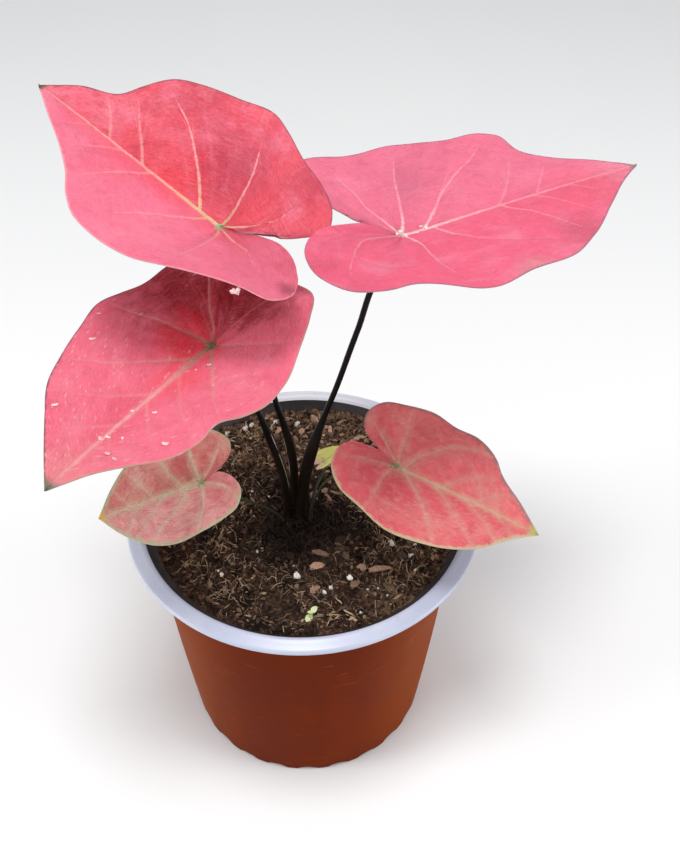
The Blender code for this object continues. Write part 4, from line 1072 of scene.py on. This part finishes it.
def pot_section():
    """Give the pot's section, from under its floor up the outside, over the rim and down."""
    shoulder = POT_HEIGHT - SHOULDER_DROP
    inner_floor = FLOOR_HEIGHT + WALL
    ring_inner = FOOT_RADIUS - FOOT_RING
    section = [(PAD_RADIUS, 0), (PAD_RADIUS + 1, FLOOR_HEIGHT)]
    section += [(r, FLOOR_HEIGHT) for r in np.linspace(16, ring_inner - 1, 5)]
    section += [(ring_inner, 0), (FOOT_RADIUS - 2.2, 0), (FOOT_RADIUS - 1.0, 0),
                (FOOT_RADIUS - 0.3, 0.35)]
    section += [(outer_radius(z), z) for z in (1.0, 1.8, 2.7, 3.8, 5.2, 7.0, 9.5)]
    section += [(outer_radius(z), z) for z in np.linspace(14, shoulder - 0.8, 20)]
    lip, top = POT_HEIGHT - LIP_DEPTH, POT_HEIGHT
    outer, inner = RIM_RADIUS, RIM_INNER_RADIUS
    rim = [(SHOULDER_RADIUS, shoulder), (SHOULDER_RADIUS + 2.4, shoulder + 2.0),
           (outer - 5.2, lip + 0.55), (outer - 2.6, lip + 0.25), (outer - 1.3, lip),
           (outer - 0.35, lip + 0.6), (outer, lip + 1.6), (outer - 0.45, top - 0.75),
           (outer - 1.6, top - 0.2), (inner + 2.4, top + 0.7), (inner + 1.1, top + 1.15),
           (inner + 0.2, top + 0.95), (inner - 0.8, top - 0.6)]
    section += [tuple(p) for p in smooth_line(rim, 40)]
    section += [(outer_radius(z) - WALL, z) for z in np.linspace(shoulder, inner_floor + 4, 14)]
    section += [(outer_radius(inner_floor) - WALL - 0.9, inner_floor + 1.4),
                (outer_radius(inner_floor) - WALL - 2.5, inner_floor), (46.0, inner_floor),
                (20.0, inner_floor), (4.0, inner_floor)]
    return section


def turned(name, section, segments):
    """Draw a ring out and up through a section's points, and close both ends."""
    piece = add(bpy.ops.mesh.primitive_circle_add, name, vertices=segments,
                radius=section[0][0] * MM, location=(0.0, 0.0, section[0][1] * MM))
    bpy.ops.object.transform_apply(location=True, rotation=False, scale=False)
    bpy.ops.object.mode_set(mode="EDIT")
    bpy.ops.mesh.select_all(action="SELECT")
    bpy.ops.mesh.edge_face_add()
    bpy.ops.mesh.select_all(action="SELECT")
    for (r0, z0), (r1, z1) in zip(section, section[1:]):
        bpy.ops.mesh.extrude_region_move(TRANSFORM_OT_translate={"value": (0, 0, (z1 - z0) * MM)})
        bpy.ops.transform.resize(value=(r1 / r0, r1 / r0, 1.0))
    bpy.ops.object.mode_set(mode="OBJECT")
    return piece


def scallop_foot(piece):
    """Raise the foot's edge in shallow arches."""
    points = points_of(piece)
    far = np.hypot(points[:, 0], points[:, 1])
    turn = np.arctan2(points[:, 1], points[:, 0]) - NOTCH_TURN
    pitch = 2 * math.pi / NOTCH_COUNT
    off = np.mod(turn + 0.5 * pitch, pitch) - 0.5 * pitch
    number = np.round((turn - off) / pitch).astype(int) % NOTCH_COUNT
    uneven = np.random.default_rng(3).uniform(0.75, 1.0, NOTCH_COUNT)[number]
    arch = np.clip(1 - (off * FOOT_RADIUS / (0.5 * NOTCH_WIDTH))**2, 0, 1)**0.7
    fade = np.clip(1 - points[:, 2] / NOTCH_FADE, 0, 1)
    foot = far > FOOT_RADIUS - FOOT_RING - 0.5
    points[:, 2] += np.where(foot, NOTCH_HEIGHT * uneven * arch * fade, 0.0)
    place_points(piece, points)


def pot_wall_finish():
    """Make the outside's satin brown plastic: faint scuffs and dust, painted light on its sides
    and a painted shadow under the rim.
    """
    finish = Finish("brown_plastic", 0.6, 0.02)
    where = finish.place()
    side, _, height = finish.split(where)
    soft = finish.noise(where, 14.0, 4.0)
    base = finish.mix(soft.spread(0.35, 0.7), colour(100, 33, 5), colour(113, 40, 6))
    # Painted light: the wall's left and right sides are lightened.
    base = base.painted(abs(side).spread(0.022, 0.062, 0.0, 0.75), colour(138, 63, 17))
    streak = finish.drawn_out(where, (60.0, 60.0, 9.0), 5.0, 0.7)
    base = base.painted(streak.spread(0.5, 0.8, 0.0, 0.35), colour(84, 25, 4))
    smudge = finish.drawn_out(where, (30.0, 30.0, 110.0), 6.0, 0.75, 1.0)
    base = base.painted(smudge.spread(0.58, 0.7, 0.0, 0.3), colour(162, 84, 36))
    scratch = finish.drawn_out(where, (70.0, 70.0, 620.0), 2.0, 0.5, 0.6)
    base = base.painted(scratch.spread(0.7, 0.76, 0.0, 0.45), colour(176, 104, 72))
    dust = finish.noise(where, 260.0, 5.0, 0.8).spread(0.6, 0.72, 0.0, 0.25)
    base = base.painted(dust, colour(144, 74, 34))
    # Painted shadow: the band just under the rim is darkened.
    painted_lip_shadow = height.spread(0.111, 0.119, 0.0, 0.7)
    base = base.painted(painted_lip_shadow, colour(40, 18, 14))
    normal = finish.bump(finish.noise(where, 900.0, 2.0), 0.05, 0.35)
    return finish.done(base, normal, soft.spread(0.3, 0.75, 0.42, 0.58))


def pot_rim_finish():
    """Make the rim's pale lavender plastic, a little dusty, with painted shade on its right side
    and painted light at its back.
    """
    finish = Finish("lavender_plastic", 0.36, 0.5)
    where = finish.place()
    side, back, _ = finish.split(where)
    soft = finish.noise(where, 22.0, 4.0)
    base = finish.mix(soft.spread(0.35, 0.7), colour(184, 191, 212), colour(204, 209, 226))
    # Painted shade: the rim's right side is darkened.
    base = base.painted(side.spread(0.01, 0.07, 0.0, 0.4), colour(158, 163, 182))
    # Painted light: the back of the rim is lightened to near white.
    base = base.painted(back.spread(0.04, 0.074, 0.0, 0.8), colour(240, 243, 250))
    grime = finish.drawn_out(where, (90.0, 90.0, 90.0), 6.0, 0.75)
    base = base.painted(grime.spread(0.58, 0.74, 0.0, 0.4), colour(156, 154, 170))
    normal = finish.bump(finish.noise(where, 700.0, 2.0), 0.04, 0.3)
    return finish.done(base, normal, soft.spread(0.3, 0.75, 0.3, 0.42))


def pot_inside_finish():
    """Make the inside's near-black plastic, dusty with soil."""
    finish = Finish("black_plastic", 0.5, 0.4)
    where = finish.place()
    height = finish.split(where)[2]
    base = finish.mix(finish.noise(where, 60.0, 4.0).spread(0.35, 0.7), colour(36, 33, 36),
                      colour(54, 49, 50))
    crumbs = finish.noise(where, 380.0, 5.0, 0.7).spread(0.5, 0.6, 0.0, 0.8)
    base = base.painted(crumbs * height.spread(0.128, 0.124), colour(80, 60, 46))
    return finish.done(base, finish.bump(finish.noise(where, 500.0, 2.0), 0.08, 0.4))


def make_pot():
    """Make the pot: brown outside, lavender rim, black inside, scalloped foot, drain holes."""
    pot = turned("nursery_pot", pot_section(), POT_SIDES)
    scallop_foot(pot)
    outward(pot)
    plug = add(bpy.ops.mesh.primitive_cylinder_add, "drain_plug", vertices=28,
               radius=DRAIN_RADIUS * MM, depth=6 * MM)
    places = []
    for k in range(DRAIN_COUNT):
        angle = 2 * math.pi * (k + 0.5) / DRAIN_COUNT
        places.append(Matrix.Translation((DRAIN_CIRCLE * math.cos(angle),
                                          DRAIN_CIRCLE * math.sin(angle),
                                          FLOOR_HEIGHT + 0.5 * WALL)))
    plugs = copies("drain_plugs", plug, places, [0.0] * DRAIN_COUNT)
    drill = pot.modifiers.new("drain_holes", "BOOLEAN")
    drill.operation = "DIFFERENCE"
    drill.solver = "EXACT"
    drill.object = plugs
    apply_modifiers(pot)
    bpy.data.objects.remove(plugs, do_unlink=True)
    lip, shoulder = POT_HEIGHT - LIP_DEPTH, POT_HEIGHT - SHOULDER_DROP
    wall, rim, inside = 0, 1, 2
    for face in pot.data.polygons:
        x, y, z = face.center / MM
        far = math.hypot(x, y)
        face.material_index = wall
        if z > lip - 0.1 and far > RIM_INNER_RADIUS + (3.2 if z < lip + 0.9 else 1.2):
            face.material_index = rim
        elif z > POT_HEIGHT - 1.2:
            face.material_index = rim
        elif z > FLOOR_HEIGHT + 0.5 and far < outer_radius(min(z, shoulder)) - 0.5 * WALL:
            face.material_index = inside
        elif z > shoulder and face.normal.z > 0.2:
            face.material_index = inside
    dress(pot, [pot_wall_finish(), pot_rim_finish(), pot_inside_finish()], 38, "pot", "pot")


# ---- Potting mix

def soil_height(x, y):
    """Give the height of the top of the mix, with its lumps and crumbs."""
    x, y = np.asarray(x, float), np.asarray(y, float)
    from_crown = np.hypot(x - CROWN[0], y - CROWN[1]) - CROWN_FLAT
    from_wall = SOIL_RADIUS - np.hypot(x, y)
    fade = np.clip(from_crown / 8, 0, 1) * np.clip(from_wall / 8, 0, 1)
    relief = sum(share * np.sin(a * x + b * y + start) for a, b, start, share in LUMPS)
    crumbs = 0.55 * rough(x + 100, y + 100, 6.0, 21) + 0.75 * rough(x + 100, y + 100, 2.9, 22)
    crumbs += 0.70 * np.abs(rough(x + 100, y + 100, 1.5, 23)) * 2
    crumbs += 0.35 * rough(x + 100, y + 100, 0.8, 24)
    bank = BANK * ease(1 - from_wall / 14.0) * ease((x - y + 50.0) / 60.0)
    return SOIL_TOP + SOIL_SLOPE * y + SOIL_RELIEF * fade * relief + crumbs + bank - 0.5


def peat_finish():
    """Make the mix's crumbly peat, with painted shade by the crown and painted light at the back
    and right.
    """
    finish = Finish("peat", 0.92, 0.2)
    where = finish.place()
    side, back, _ = finish.split(where)
    patch = finish.noise(where, 60.0, 5.0, 0.65)
    base = finish.mix(patch.spread(0.38, 0.62), colour(32, 22, 17), colour(78, 55, 42))
    grain = finish.noise(where, 420.0, 5.0, 0.7)
    base = base.painted(grain.spread(0.52, 0.72, 0.0, 0.7), colour(150, 116, 90))
    base = base.painted(grain.spread(0.5, 0.36, 0.0, 0.85), colour(16, 10, 8))
    red = finish.noise(where, 26.0, 3.0).spread(0.5, 0.7, 0.0, 0.35)
    base = base.painted(red, colour(74, 36, 28))
    # Painted light: the back and right of the mix are lightened.
    sunny = back.spread(0.018, 0.04, 0.0, 0.6).at_least(side.spread(0.022, 0.042, 0.0, 0.35))
    base = base.painted(sunny * grain.spread(0.4, 0.6), colour(148, 122, 96))
    # Painted shade: the mix is darkened around the crown, under the leaves.
    shade = ((CROWN[0] + 2.0) * MM, (CROWN[1] - 9.0) * MM, SOIL_TOP * MM)
    far = finish.pattern("ShaderNodeVectorMath", {0: where, 1: shade}, "Value",
                         operation="DISTANCE")
    base = base.painted(far.spread(0.01, 0.034, 0.85, 0.0), colour(14, 9, 7))
    return finish.done(base, finish.bump(finish.noise(where, 1100.0, 5.0, 0.75), 0.5, 0.8))


def grain_finish(name, dark, light, roughness=0.9):
    """Make a finish whose colour changes from grain to grain."""
    finish = Finish(name, roughness, 0.25)
    tone = finish.pattern("ShaderNodeAttribute", {}, "Fac", attribute_name="tone")
    base = finish.mix(tone.spread(0.0, 1.0), colour(*dark), colour(*light))
    streak = finish.noise(finish.place(), 900.0, 4.0, 0.7)
    base = finish.node("ShaderNodeVectorMath", {0: base, 3: streak.spread(0.35, 0.7, 0.72, 1.12)},
                       operation="SCALE")[0]
    return finish.done(base, finish.bump(streak, 0.2, 0.7))


def make_soil():
    """Make the body of the mix with its rough top."""
    soil, column, row = add_grid("potting_mix", SOIL_CELLS, SOIL_CELLS)
    x, y = 2.0 * column / SOIL_CELLS - 1.0, 2.0 * row / SOIL_CELLS - 1.0
    plan_x = SOIL_RADIUS * x * np.sqrt(1 - 0.5 * y**2)
    plan_y = SOIL_RADIUS * y * np.sqrt(1 - 0.5 * x**2)
    top = soil_height(plan_x, plan_y)
    out = 1 + np.clip(0.85 * (top - SOIL_TOP), 0, 1.6) / SOIL_RADIUS * ease(
        (np.hypot(plan_x, plan_y) - 60.0) / 7.0)
    place_points(soil, np.stack([plan_x * out, plan_y * out, top], axis=1))
    border = (column % SOIL_CELLS == 0) | (row % SOIL_CELLS == 0)
    rings = [(outer_radius(z) - WALL - 0.1, z) for z in (119.5, 112, 90, 60, 30, 9)]
    select_only(soil)
    for radius, height in [*rings, (outer_radius(4.6) - WALL - 3.0, 4.6)]:
        for parts in (soil.data.polygons, soil.data.edges):
            parts.foreach_set("select", [False] * len(parts))
        soil.data.vertices.foreach_set("select", border)
        bpy.ops.object.mode_set(mode="EDIT")
        bpy.ops.mesh.select_mode(type="VERT")
        bpy.ops.mesh.extrude_edges_move()
        bpy.ops.object.mode_set(mode="OBJECT")
        border = np.empty(len(soil.data.vertices), bool)
        soil.data.vertices.foreach_get("select", border)
        points = points_of(soil)
        angle = np.arctan2(points[:, 1], points[:, 0])
        ring = np.stack([radius * np.cos(angle), radius * np.sin(angle),
                         np.full(len(angle), height)], axis=1)
        place_points(soil, np.where(border[:, None], ring, points))
    bpy.ops.object.mode_set(mode="EDIT")
    bpy.ops.mesh.edge_face_add()
    bpy.ops.object.mode_set(mode="OBJECT")
    outward(soil)
    dress(soil, [peat_finish()], None, "potting_mix", "soil")


# ---- Loose bits on the mix

def lying(spot, *parts):
    """Give a bit's place: at a spot, then turned, moved or sized by the parts in order."""
    place = Matrix.Translation(spot)
    for part in parts:
        place = place @ (part if isinstance(part, Matrix) else Matrix.Diagonal((*part, 1.0)))
    return place


def on_mix(x, y, lift):
    """Give the place over the top of the mix."""
    return x, y, float(soil_height(x, y)) + lift


def spun(angle, axis="Z"):
    """Give a turn about an axis."""
    return Matrix.Rotation(angle, 4, axis)


def tilted(rng, lean):
    """Give a random turn with a lean of at most so many radians."""
    return (spun(rng.uniform(0, 2 * math.pi)) @ spun(rng.uniform(-lean, lean), "X")
            @ spun(rng.uniform(-lean, lean), "Y"))


def brightness(x, y):
    """Give how light the loose bits are: painted shade darkens them by the crown, painted light
    makes them lightest at the back and right, and a random patch varies them.
    """
    far = math.hypot(x - CROWN[0] - 2.0, y - CROWN[1] + 9.0)
    patch = float(rough(np.array([x + 100.0]), np.array([y + 100.0]), 13.0, 41)[0])
    sunny = 0.35 * min(max((y - 18.0) / 16.0, 0.0), 1.0)
    sunny += 0.35 * min(max((x - 22.0) / 14.0, 0.0), 1.0)
    return min(max((far - 9.0) / 22.0, 0.08), 1.0) * (0.75 + 0.5 * patch + sunny)


def scatter_spots(rng, count, limit):
    """Draw places in a disc, clear of the crown."""
    spots = []
    while len(spots) < count:
        x, y = rng.uniform(-limit, limit), rng.uniform(-limit, limit)
        if (math.hypot(x, y) < limit
                and math.hypot(x - CROWN[0], y - CROWN[1]) > CROWN_CLEAR):
            spots.append((x, y))
    return spots


def crumb_model(name, seed, lumps):
    """Make one small uneven crumb."""
    crumb = add(bpy.ops.mesh.primitive_ico_sphere_add, name, subdivisions=2, radius=MM)
    points = points_of(crumb)
    x, y, z = points.T
    swell = 1 + lumps * rough(3 * x + 9, 3 * y + 3 * z + 9, 1.6, seed)
    place_points(crumb, points * swell[:, None])
    return crumb


def chip_model(name, cuts):
    """Make one flat splinter of bark."""
    chip = add(bpy.ops.mesh.primitive_cube_add, name, size=MM)
    edit(chip, bpy.ops.mesh.subdivide, number_cuts=cuts)
    points = points_of(chip)
    narrow = 1 - 0.5 * np.clip(np.abs(points[:, 0]) * 2, 0, 1)**2
    points[:, 1] *= narrow * (1 + 0.5 * rough(points[:, 0] * 5 + 9, points[:, 2] * 5 + 9, 1.1, 8))
    points[:, 2] *= narrow
    points += 0.07 * np.stack([rough(points[:, 1] * 7 + 9, points[:, 2] * 7 + k, 1.0, k)
                               for k in (1, 2, 3)], axis=1)
    place_points(chip, points)
    return chip


def make_crumbs():
    """Scatter crumbs of peat over the top of the mix."""
    rng = random.Random(31)
    places, tones = [], []
    for x, y in scatter_spots(rng, CRUMB_COUNT, SOIL_RADIUS - 1.0):
        size = rng.uniform(0.35, 0.75) * (1 + 1.2 * rng.random()**4)
        sizes = size, size * rng.uniform(0.6, 1.0), size * rng.uniform(0.5, 0.8)
        places.append(lying(on_mix(x, y, 0.15 * size), tilted(rng, 0.6), sizes))
        tones.append(rng.random() ** 1.6 * brightness(x, y))
    crumbs = copies("peat_crumbs", crumb_model("crumb", 5, 0.5), places, tones)
    dress(crumbs, [grain_finish("peat_crumb", (34, 23, 17), (160, 128, 100))], 50, "potting_mix")


def chip_spots(rng):
    """Draw places for the chips as the part does."""
    limit = outer_radius(SOIL_TOP) - WALL - CHIP_SPACING
    keep_off = [(*CROWN, CROWN_FLAT + 0.5 * CHIP_SPACING), (*SEEDLING_SPOT, 7.0)]
    spots = []
    while len(spots) < CHIP_COUNT:
        x, y = rng.uniform(-limit, limit), rng.uniform(-limit, limit)
        near = [math.hypot(x - a, y - b) < r for a, b, r in keep_off]
        near += [math.hypot(x - a, y - b) < CHIP_SPACING for a, b in spots]
        if math.hypot(x, y) < limit and not any(near):
            spots.append((x, y))
    return spots


def make_chips():
    """Lay bark chips and splinters on the mix: the part's own, some seen ones, and small ones."""
    rng = random.Random(CHIP_SEED)
    places, tones = [], []
    for k, (x, y) in enumerate(chip_spots(rng)):
        turn = spun(rng.uniform(0, math.pi))
        tilt = spun(rng.uniform(-0.3, 0.3), "X")
        if k % 3:
            sizes = rng.uniform(4.0, 8.0), rng.uniform(2.2, 3.6), 2.6
        else:
            sizes = *[rng.uniform(1.5, 2.1) * 1.5] * 2, 2.8
        places.append(lying(on_mix(x, y, -0.2), turn, tilt, sizes))
        tones.append((0.12 + 0.3 * ((7 * k) % 10) / 10) * brightness(x, y))
    for x, y, length, width, tone, turn in SEEN_CHIPS:
        places.append(lying(on_mix(x, y, 0.5), spun(turn), spun(0.15, "Y"),
                            (length, width, 1.6)))
        tones.append(tone)
    rng = random.Random(40)
    for x, y in scatter_spots(rng, SMALL_CHIP_DRAWS, SOIL_RADIUS - 3.5):
        if x + 0.6 * y >= 8.0 and y >= 5.0:
            sizes = rng.uniform(1.8, 5.5), rng.uniform(1.0, 2.6), 1.0
            places.append(lying(on_mix(x, y, 0.5), tilted(rng, 0.6), sizes))
            tones.append(rng.uniform(0.4, 1.2))
    chips = copies("bark_chips", chip_model("chip", 2), places, tones)
    dress(chips, [grain_finish("bark", (40, 27, 21), (196, 158, 134), 0.8)], 24, "potting_mix")


def make_splinters():
    """Strew small splinters thickly over the mix."""
    rng = random.Random(12)
    places, tones = [], []
    for x, y in scatter_spots(rng, SPLINTER_COUNT, SOIL_RADIUS - 2.0):
        length = rng.uniform(1.0, 4.2)
        width = rng.uniform(0.22, 0.5) if rng.random() < 0.7 else rng.uniform(0.5, 1.5)
        sizes = length, width, rng.uniform(0.25, 0.6)
        places.append(lying(on_mix(x, y, 0.3), tilted(rng, 0.7), sizes))
        tones.append(rng.random() ** 2.2 * brightness(x, y))
    splinters = copies("bark_splinters", chip_model("splinter", 1), places, tones)
    dress(splinters, [grain_finish("bark_splinter", (38, 27, 21), (206, 174, 140), 0.85)], 40,
          "potting_mix")


def make_perlite():
    """Lay the white grains of perlite where they are seen, and a few small ones."""
    rng = random.Random(5)
    small = [(x, y, rng.uniform(0.3, 0.6)) for x, y in scatter_spots(rng, 26, 62.0)]
    places, tones = [], []
    for x, y, size in [*SEEN_PERLITE, *small]:
        size *= 1.2
        sizes = size, size * rng.uniform(0.75, 1.0), size * 0.8
        places.append(lying(on_mix(x, y, 0.45 * size), tilted(rng, 0.8), sizes))
        tones.append(rng.uniform(0.55, 1.0))
    grains = copies("perlite", crumb_model("perlite_grain", 9, 0.6), places, tones)
    dress(grains, [grain_finish("perlite", (206, 198, 182), (250, 246, 236), 0.85)], 60,
          "potting_mix")


def make_fibres():
    """Lay fine curled fibres over the mix, in three-sided threads."""
    rng = random.Random(77)
    steps, limit = 7, SOIL_RADIUS - 0.6
    spots, faces, tones = [], [], []
    wanted = [(x, y, rng.uniform(2.0, 7.5), rng.uniform(0.08, 0.17))
              for x, y in scatter_spots(rng, FIBRE_COUNT, SOIL_RADIUS - 5.0)]
    for number, (x, y, length, thick) in enumerate(wanted + SEEN_FIBRES):
        heading = 4.7 if number == len(wanted) else rng.uniform(0, 2 * math.pi)
        curl = rng.uniform(-1.4, 1.4)
        hump = rng.uniform(0.1, 1.3)
        base = len(spots)
        px, py = x, y
        for k in range(steps + 1):
            share = k / steps
            px += math.cos(heading) * length / steps
            py += math.sin(heading) * length / steps
            heading += curl / steps + rng.uniform(-0.15, 0.15)
            reach = math.hypot(px, py)
            if reach > limit:
                px, py = px * limit / reach, py * limit / reach
            pz = float(soil_height(px, py)) + 0.1 + hump * math.sin(math.pi * share)
            radius = thick * (0.35 + 0.65 * math.sin(math.pi * min(max(share, 0.06), 0.94)))
            for side in range(3):
                angle = 2 * math.pi * side / 3
                spots.append((px - radius * math.cos(angle) * math.sin(heading),
                              py + radius * math.cos(angle) * math.cos(heading),
                              pz + radius * math.sin(angle)))
        tone = 1.0 if number >= len(wanted) else rng.random() * brightness(x, y)
        tones.extend([tone] * (3 * (steps + 1)))
        for k in range(steps):
            for side in range(3):
                a, b = base + 3 * k + side, base + 3 * k + (side + 1) % 3
                faces.append([a, b, b + 3, a + 3])
        faces.append([base + 2, base + 1, base])
        faces.append([base + 3 * steps, base + 3 * steps + 1, base + 3 * steps + 2])
    fibres = loose_bits("peat_fibres", spots, faces, tones)
    outward(fibres)
    dress(fibres, [grain_finish("fibre", (66, 50, 38), (226, 200, 164))], 80, "potting_mix")


# ---- Small things

def make_seedling():
    """Make the tiny seedling: a stem and three small cupped leaves."""
    x, y = SEEDLING_SPOT
    base = SOIL_TOP + SOIL_SLOPE * y
    green = Finish("seedling_green", 0.5, 0.35)
    where = green.place()
    tint = green.mix(green.noise(where, 500.0, 3.0).spread(0.35, 0.65), colour(184, 202, 136),
                     colour(220, 228, 184))
    green.done(tint, green.bump(green.noise(where, 900.0, 2.0), 0.1, 0.5))
    leaf = add(bpy.ops.mesh.primitive_uv_sphere_add, "seedling_leaf", segments=20, ring_count=14,
               radius=1.0 * MM)
    points = points_of(leaf)
    points[:, 1] *= 1 - 0.25 * points[:, 0]
    points[:, 2] += 0.9 * points[:, 1]**2 - 0.35 * np.exp(-(points[:, 1] / 0.16)**2)
    place_points(leaf, points)
    places = [lying((x, y - 1.2, base + lift), spun(turn), spun(lean, "Y"),
                    Matrix.Translation((2.1 * size, 0.0, 0.0)), (1.9 * size, 1.6 * size, 0.45))
              for turn, size, lift, lean in ((0.8, 0.85, 3.2, -0.5), (2.8, 0.5, 2.6, -0.3),
                                             (4.1, 1.0, 1.9, 0.15))]
    leaves = copies("seedling_leaves", leaf, places, [0.5] * 3)
    stem = add(bpy.ops.mesh.primitive_cylinder_add, "seedling_stem", vertices=12,
               radius=0.5 * MM, depth=6.0 * MM,
               location=(x * MM, (y - 1.1) * MM, (base + 0.2) * MM))
    bpy.ops.object.transform_apply(location=True, rotation=False, scale=False)
    edit(stem, bpy.ops.mesh.subdivide, number_cuts=3)
    select_only(leaves)
    stem.select_set(True)
    bpy.ops.object.join()
    seedling = named("sprout")
    seedling.data.materials.clear()
    dress(seedling, [green.material], 60, "seedling", "seedling")


def on_blade(name, along, across, lift):
    """Give the place over a blade's upper face at a spot of its plane."""
    leaf = LEAVES[name]
    hub, heading, sideways, facing = leaf_axes(leaf)
    height = float(blade_height(leaf, np.array(along, float), np.array(across, float)))
    return hub + heading * along + sideways * across + facing * (height + lift)


def make_blade_crumbs():
    """Lay the pale crumbs on the blades: by the right blade's hub and on the middle one."""
    rng = random.Random(3)
    places, tones = [], []
    for along, across, size in HUB_CRUMBS:
        places.append(lying(on_blade("upper_right", along, across, 0.1), tilted(rng, 0.5),
                            (size, size, 0.6 * size)))
        tones.append(rng.uniform(0.8, 1.0))
    for along, across, size in MARGIN_CRUMBS:
        places.append(lying(on_blade("upper_left", along, across, -1.0), tilted(rng, 0.5),
                            (size, size, size)))
        tones.append(0.6)
    for along, across, size in MIDDLE_CRUMBS:
        places.append(lying(on_blade("middle", along, across, 0.1), spun(rng.uniform(-0.5, 0.5)),
                            (1.5 * size, 0.9 * size, 0.3 * size)))
        tones.append(rng.uniform(0.0, 0.9))
    crumbs = copies("pale_crumbs", crumb_model("pale_crumb", 4, 0.5), places, tones)
    dress(crumbs, [grain_finish("pale_crumb", (248, 186, 190), (255, 226, 222), 0.6)], 60,
          "potting_mix")


def tuber_finish():
    """Make the tuber's corky brown skin."""
    finish = Finish("corky_skin", 0.85, 0.2)
    rings = finish.drawn_out(finish.place(), (40.0, 40.0, 260.0), 5.0, 0.7)
    base = finish.mix(rings.spread(0.35, 0.7), colour(92, 62, 42), colour(140, 102, 72))
    return finish.done(base, finish.bump(rings, 0.6, 0.7))


# ---- Stage

def make_stage():
    """Lay the pale floor and set soft studio lights."""
    floor = add(bpy.ops.mesh.primitive_plane_add, "floor", size=6.0)
    finish = Finish("pale_floor", 0.9, 0.1)
    finish.done(finish.mix(finish.noise(finish.place(), 2.0), colour(240, 240, 241),
                           colour(246, 246, 246)))
    floor.data.materials.append(finish.material)
    world = bpy.data.worlds.new("soft_room")
    bpy.context.scene.world = world
    world.use_nodes = True
    background = world.node_tree.nodes["Background"]
    background.inputs["Color"].default_value = (0.98, 0.99, 1.0, 1.0)
    background.inputs["Strength"].default_value = 0.55
    for name, spot, aim, size, power in (
            ("key", (-0.02, -0.22, 1.33), (0.0, 0.0, 0.15), 0.36, 7.4),
            ("left_fill", (-1.15, -0.32, 0.55), (0.0, 0.0, 0.14), 0.5, 6.5),
            ("right_fill", (1.2, -0.28, 0.5), (0.0, 0.0, 0.12), 0.6, 6.5)):
        lamp = bpy.data.lights.new(name, "AREA")
        lamp.shape = "DISK"
        lamp.size = size
        lamp.energy = power
        light = bpy.data.objects.new(name, lamp)
        bpy.context.scene.collection.objects.link(light)
        light.location = spot
        light.rotation_euler = (Vector(aim) - Vector(spot)).to_track_quat("-Z", "Y").to_euler()


def make_camera():
    """Set the camera where the photograph was taken from."""
    lens = bpy.data.cameras.new("camera")
    lens.lens = LENS
    lens.sensor_width = 36.0
    lens.sensor_fit = "AUTO"
    lens.clip_start = 0.01
    lens.clip_end = 20.0
    camera = bpy.data.objects.new("camera", lens)
    bpy.context.scene.collection.objects.link(camera)
    turn = spun(math.radians(CAMERA_TILT), "X") @ spun(math.radians(CAMERA_ROLL))
    camera.matrix_world = Matrix.Translation(CAMERA_SPOT) @ turn
    bpy.context.scene.camera = camera


def main():
    """Dress the part and set the stage."""
    bpy.context.scene.view_settings.view_transform = "Standard"
    bpy.context.scene.view_settings.look = "None"
    make_pot()
    make_soil()
    make_crumbs()
    make_chips()
    make_splinters()
    make_perlite()
    make_fibres()
    slots = {"upper_left": "blade_rose", "upper_right": "blade_pink", "middle": "blade_coral",
             "lower_left": "blade_small", "lower_right": "blade_small", "young": "blade_young"}
    dark, pale = dark_stalk_finish(), pale_stalk_finish()
    edges = {"upper_left": 3.6, "upper_right": 2.6, "middle": 5.6}
    for name, leaf in LEAVES.items():
        make_blade(name, leaf, slots[name])
        if name in edges:
            make_stalk(name, leaf, "stalk_dark", dark, edges[name])
        else:
            make_stalk(name, leaf, "stalk_pale", pale, 1.0)
    make_seedling()
    make_blade_crumbs()
    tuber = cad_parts["tuber"]
    tuber.data.materials.clear()
    tuber.data.materials.append(tuber_finish())
    make_stage()
    make_camera()


main()
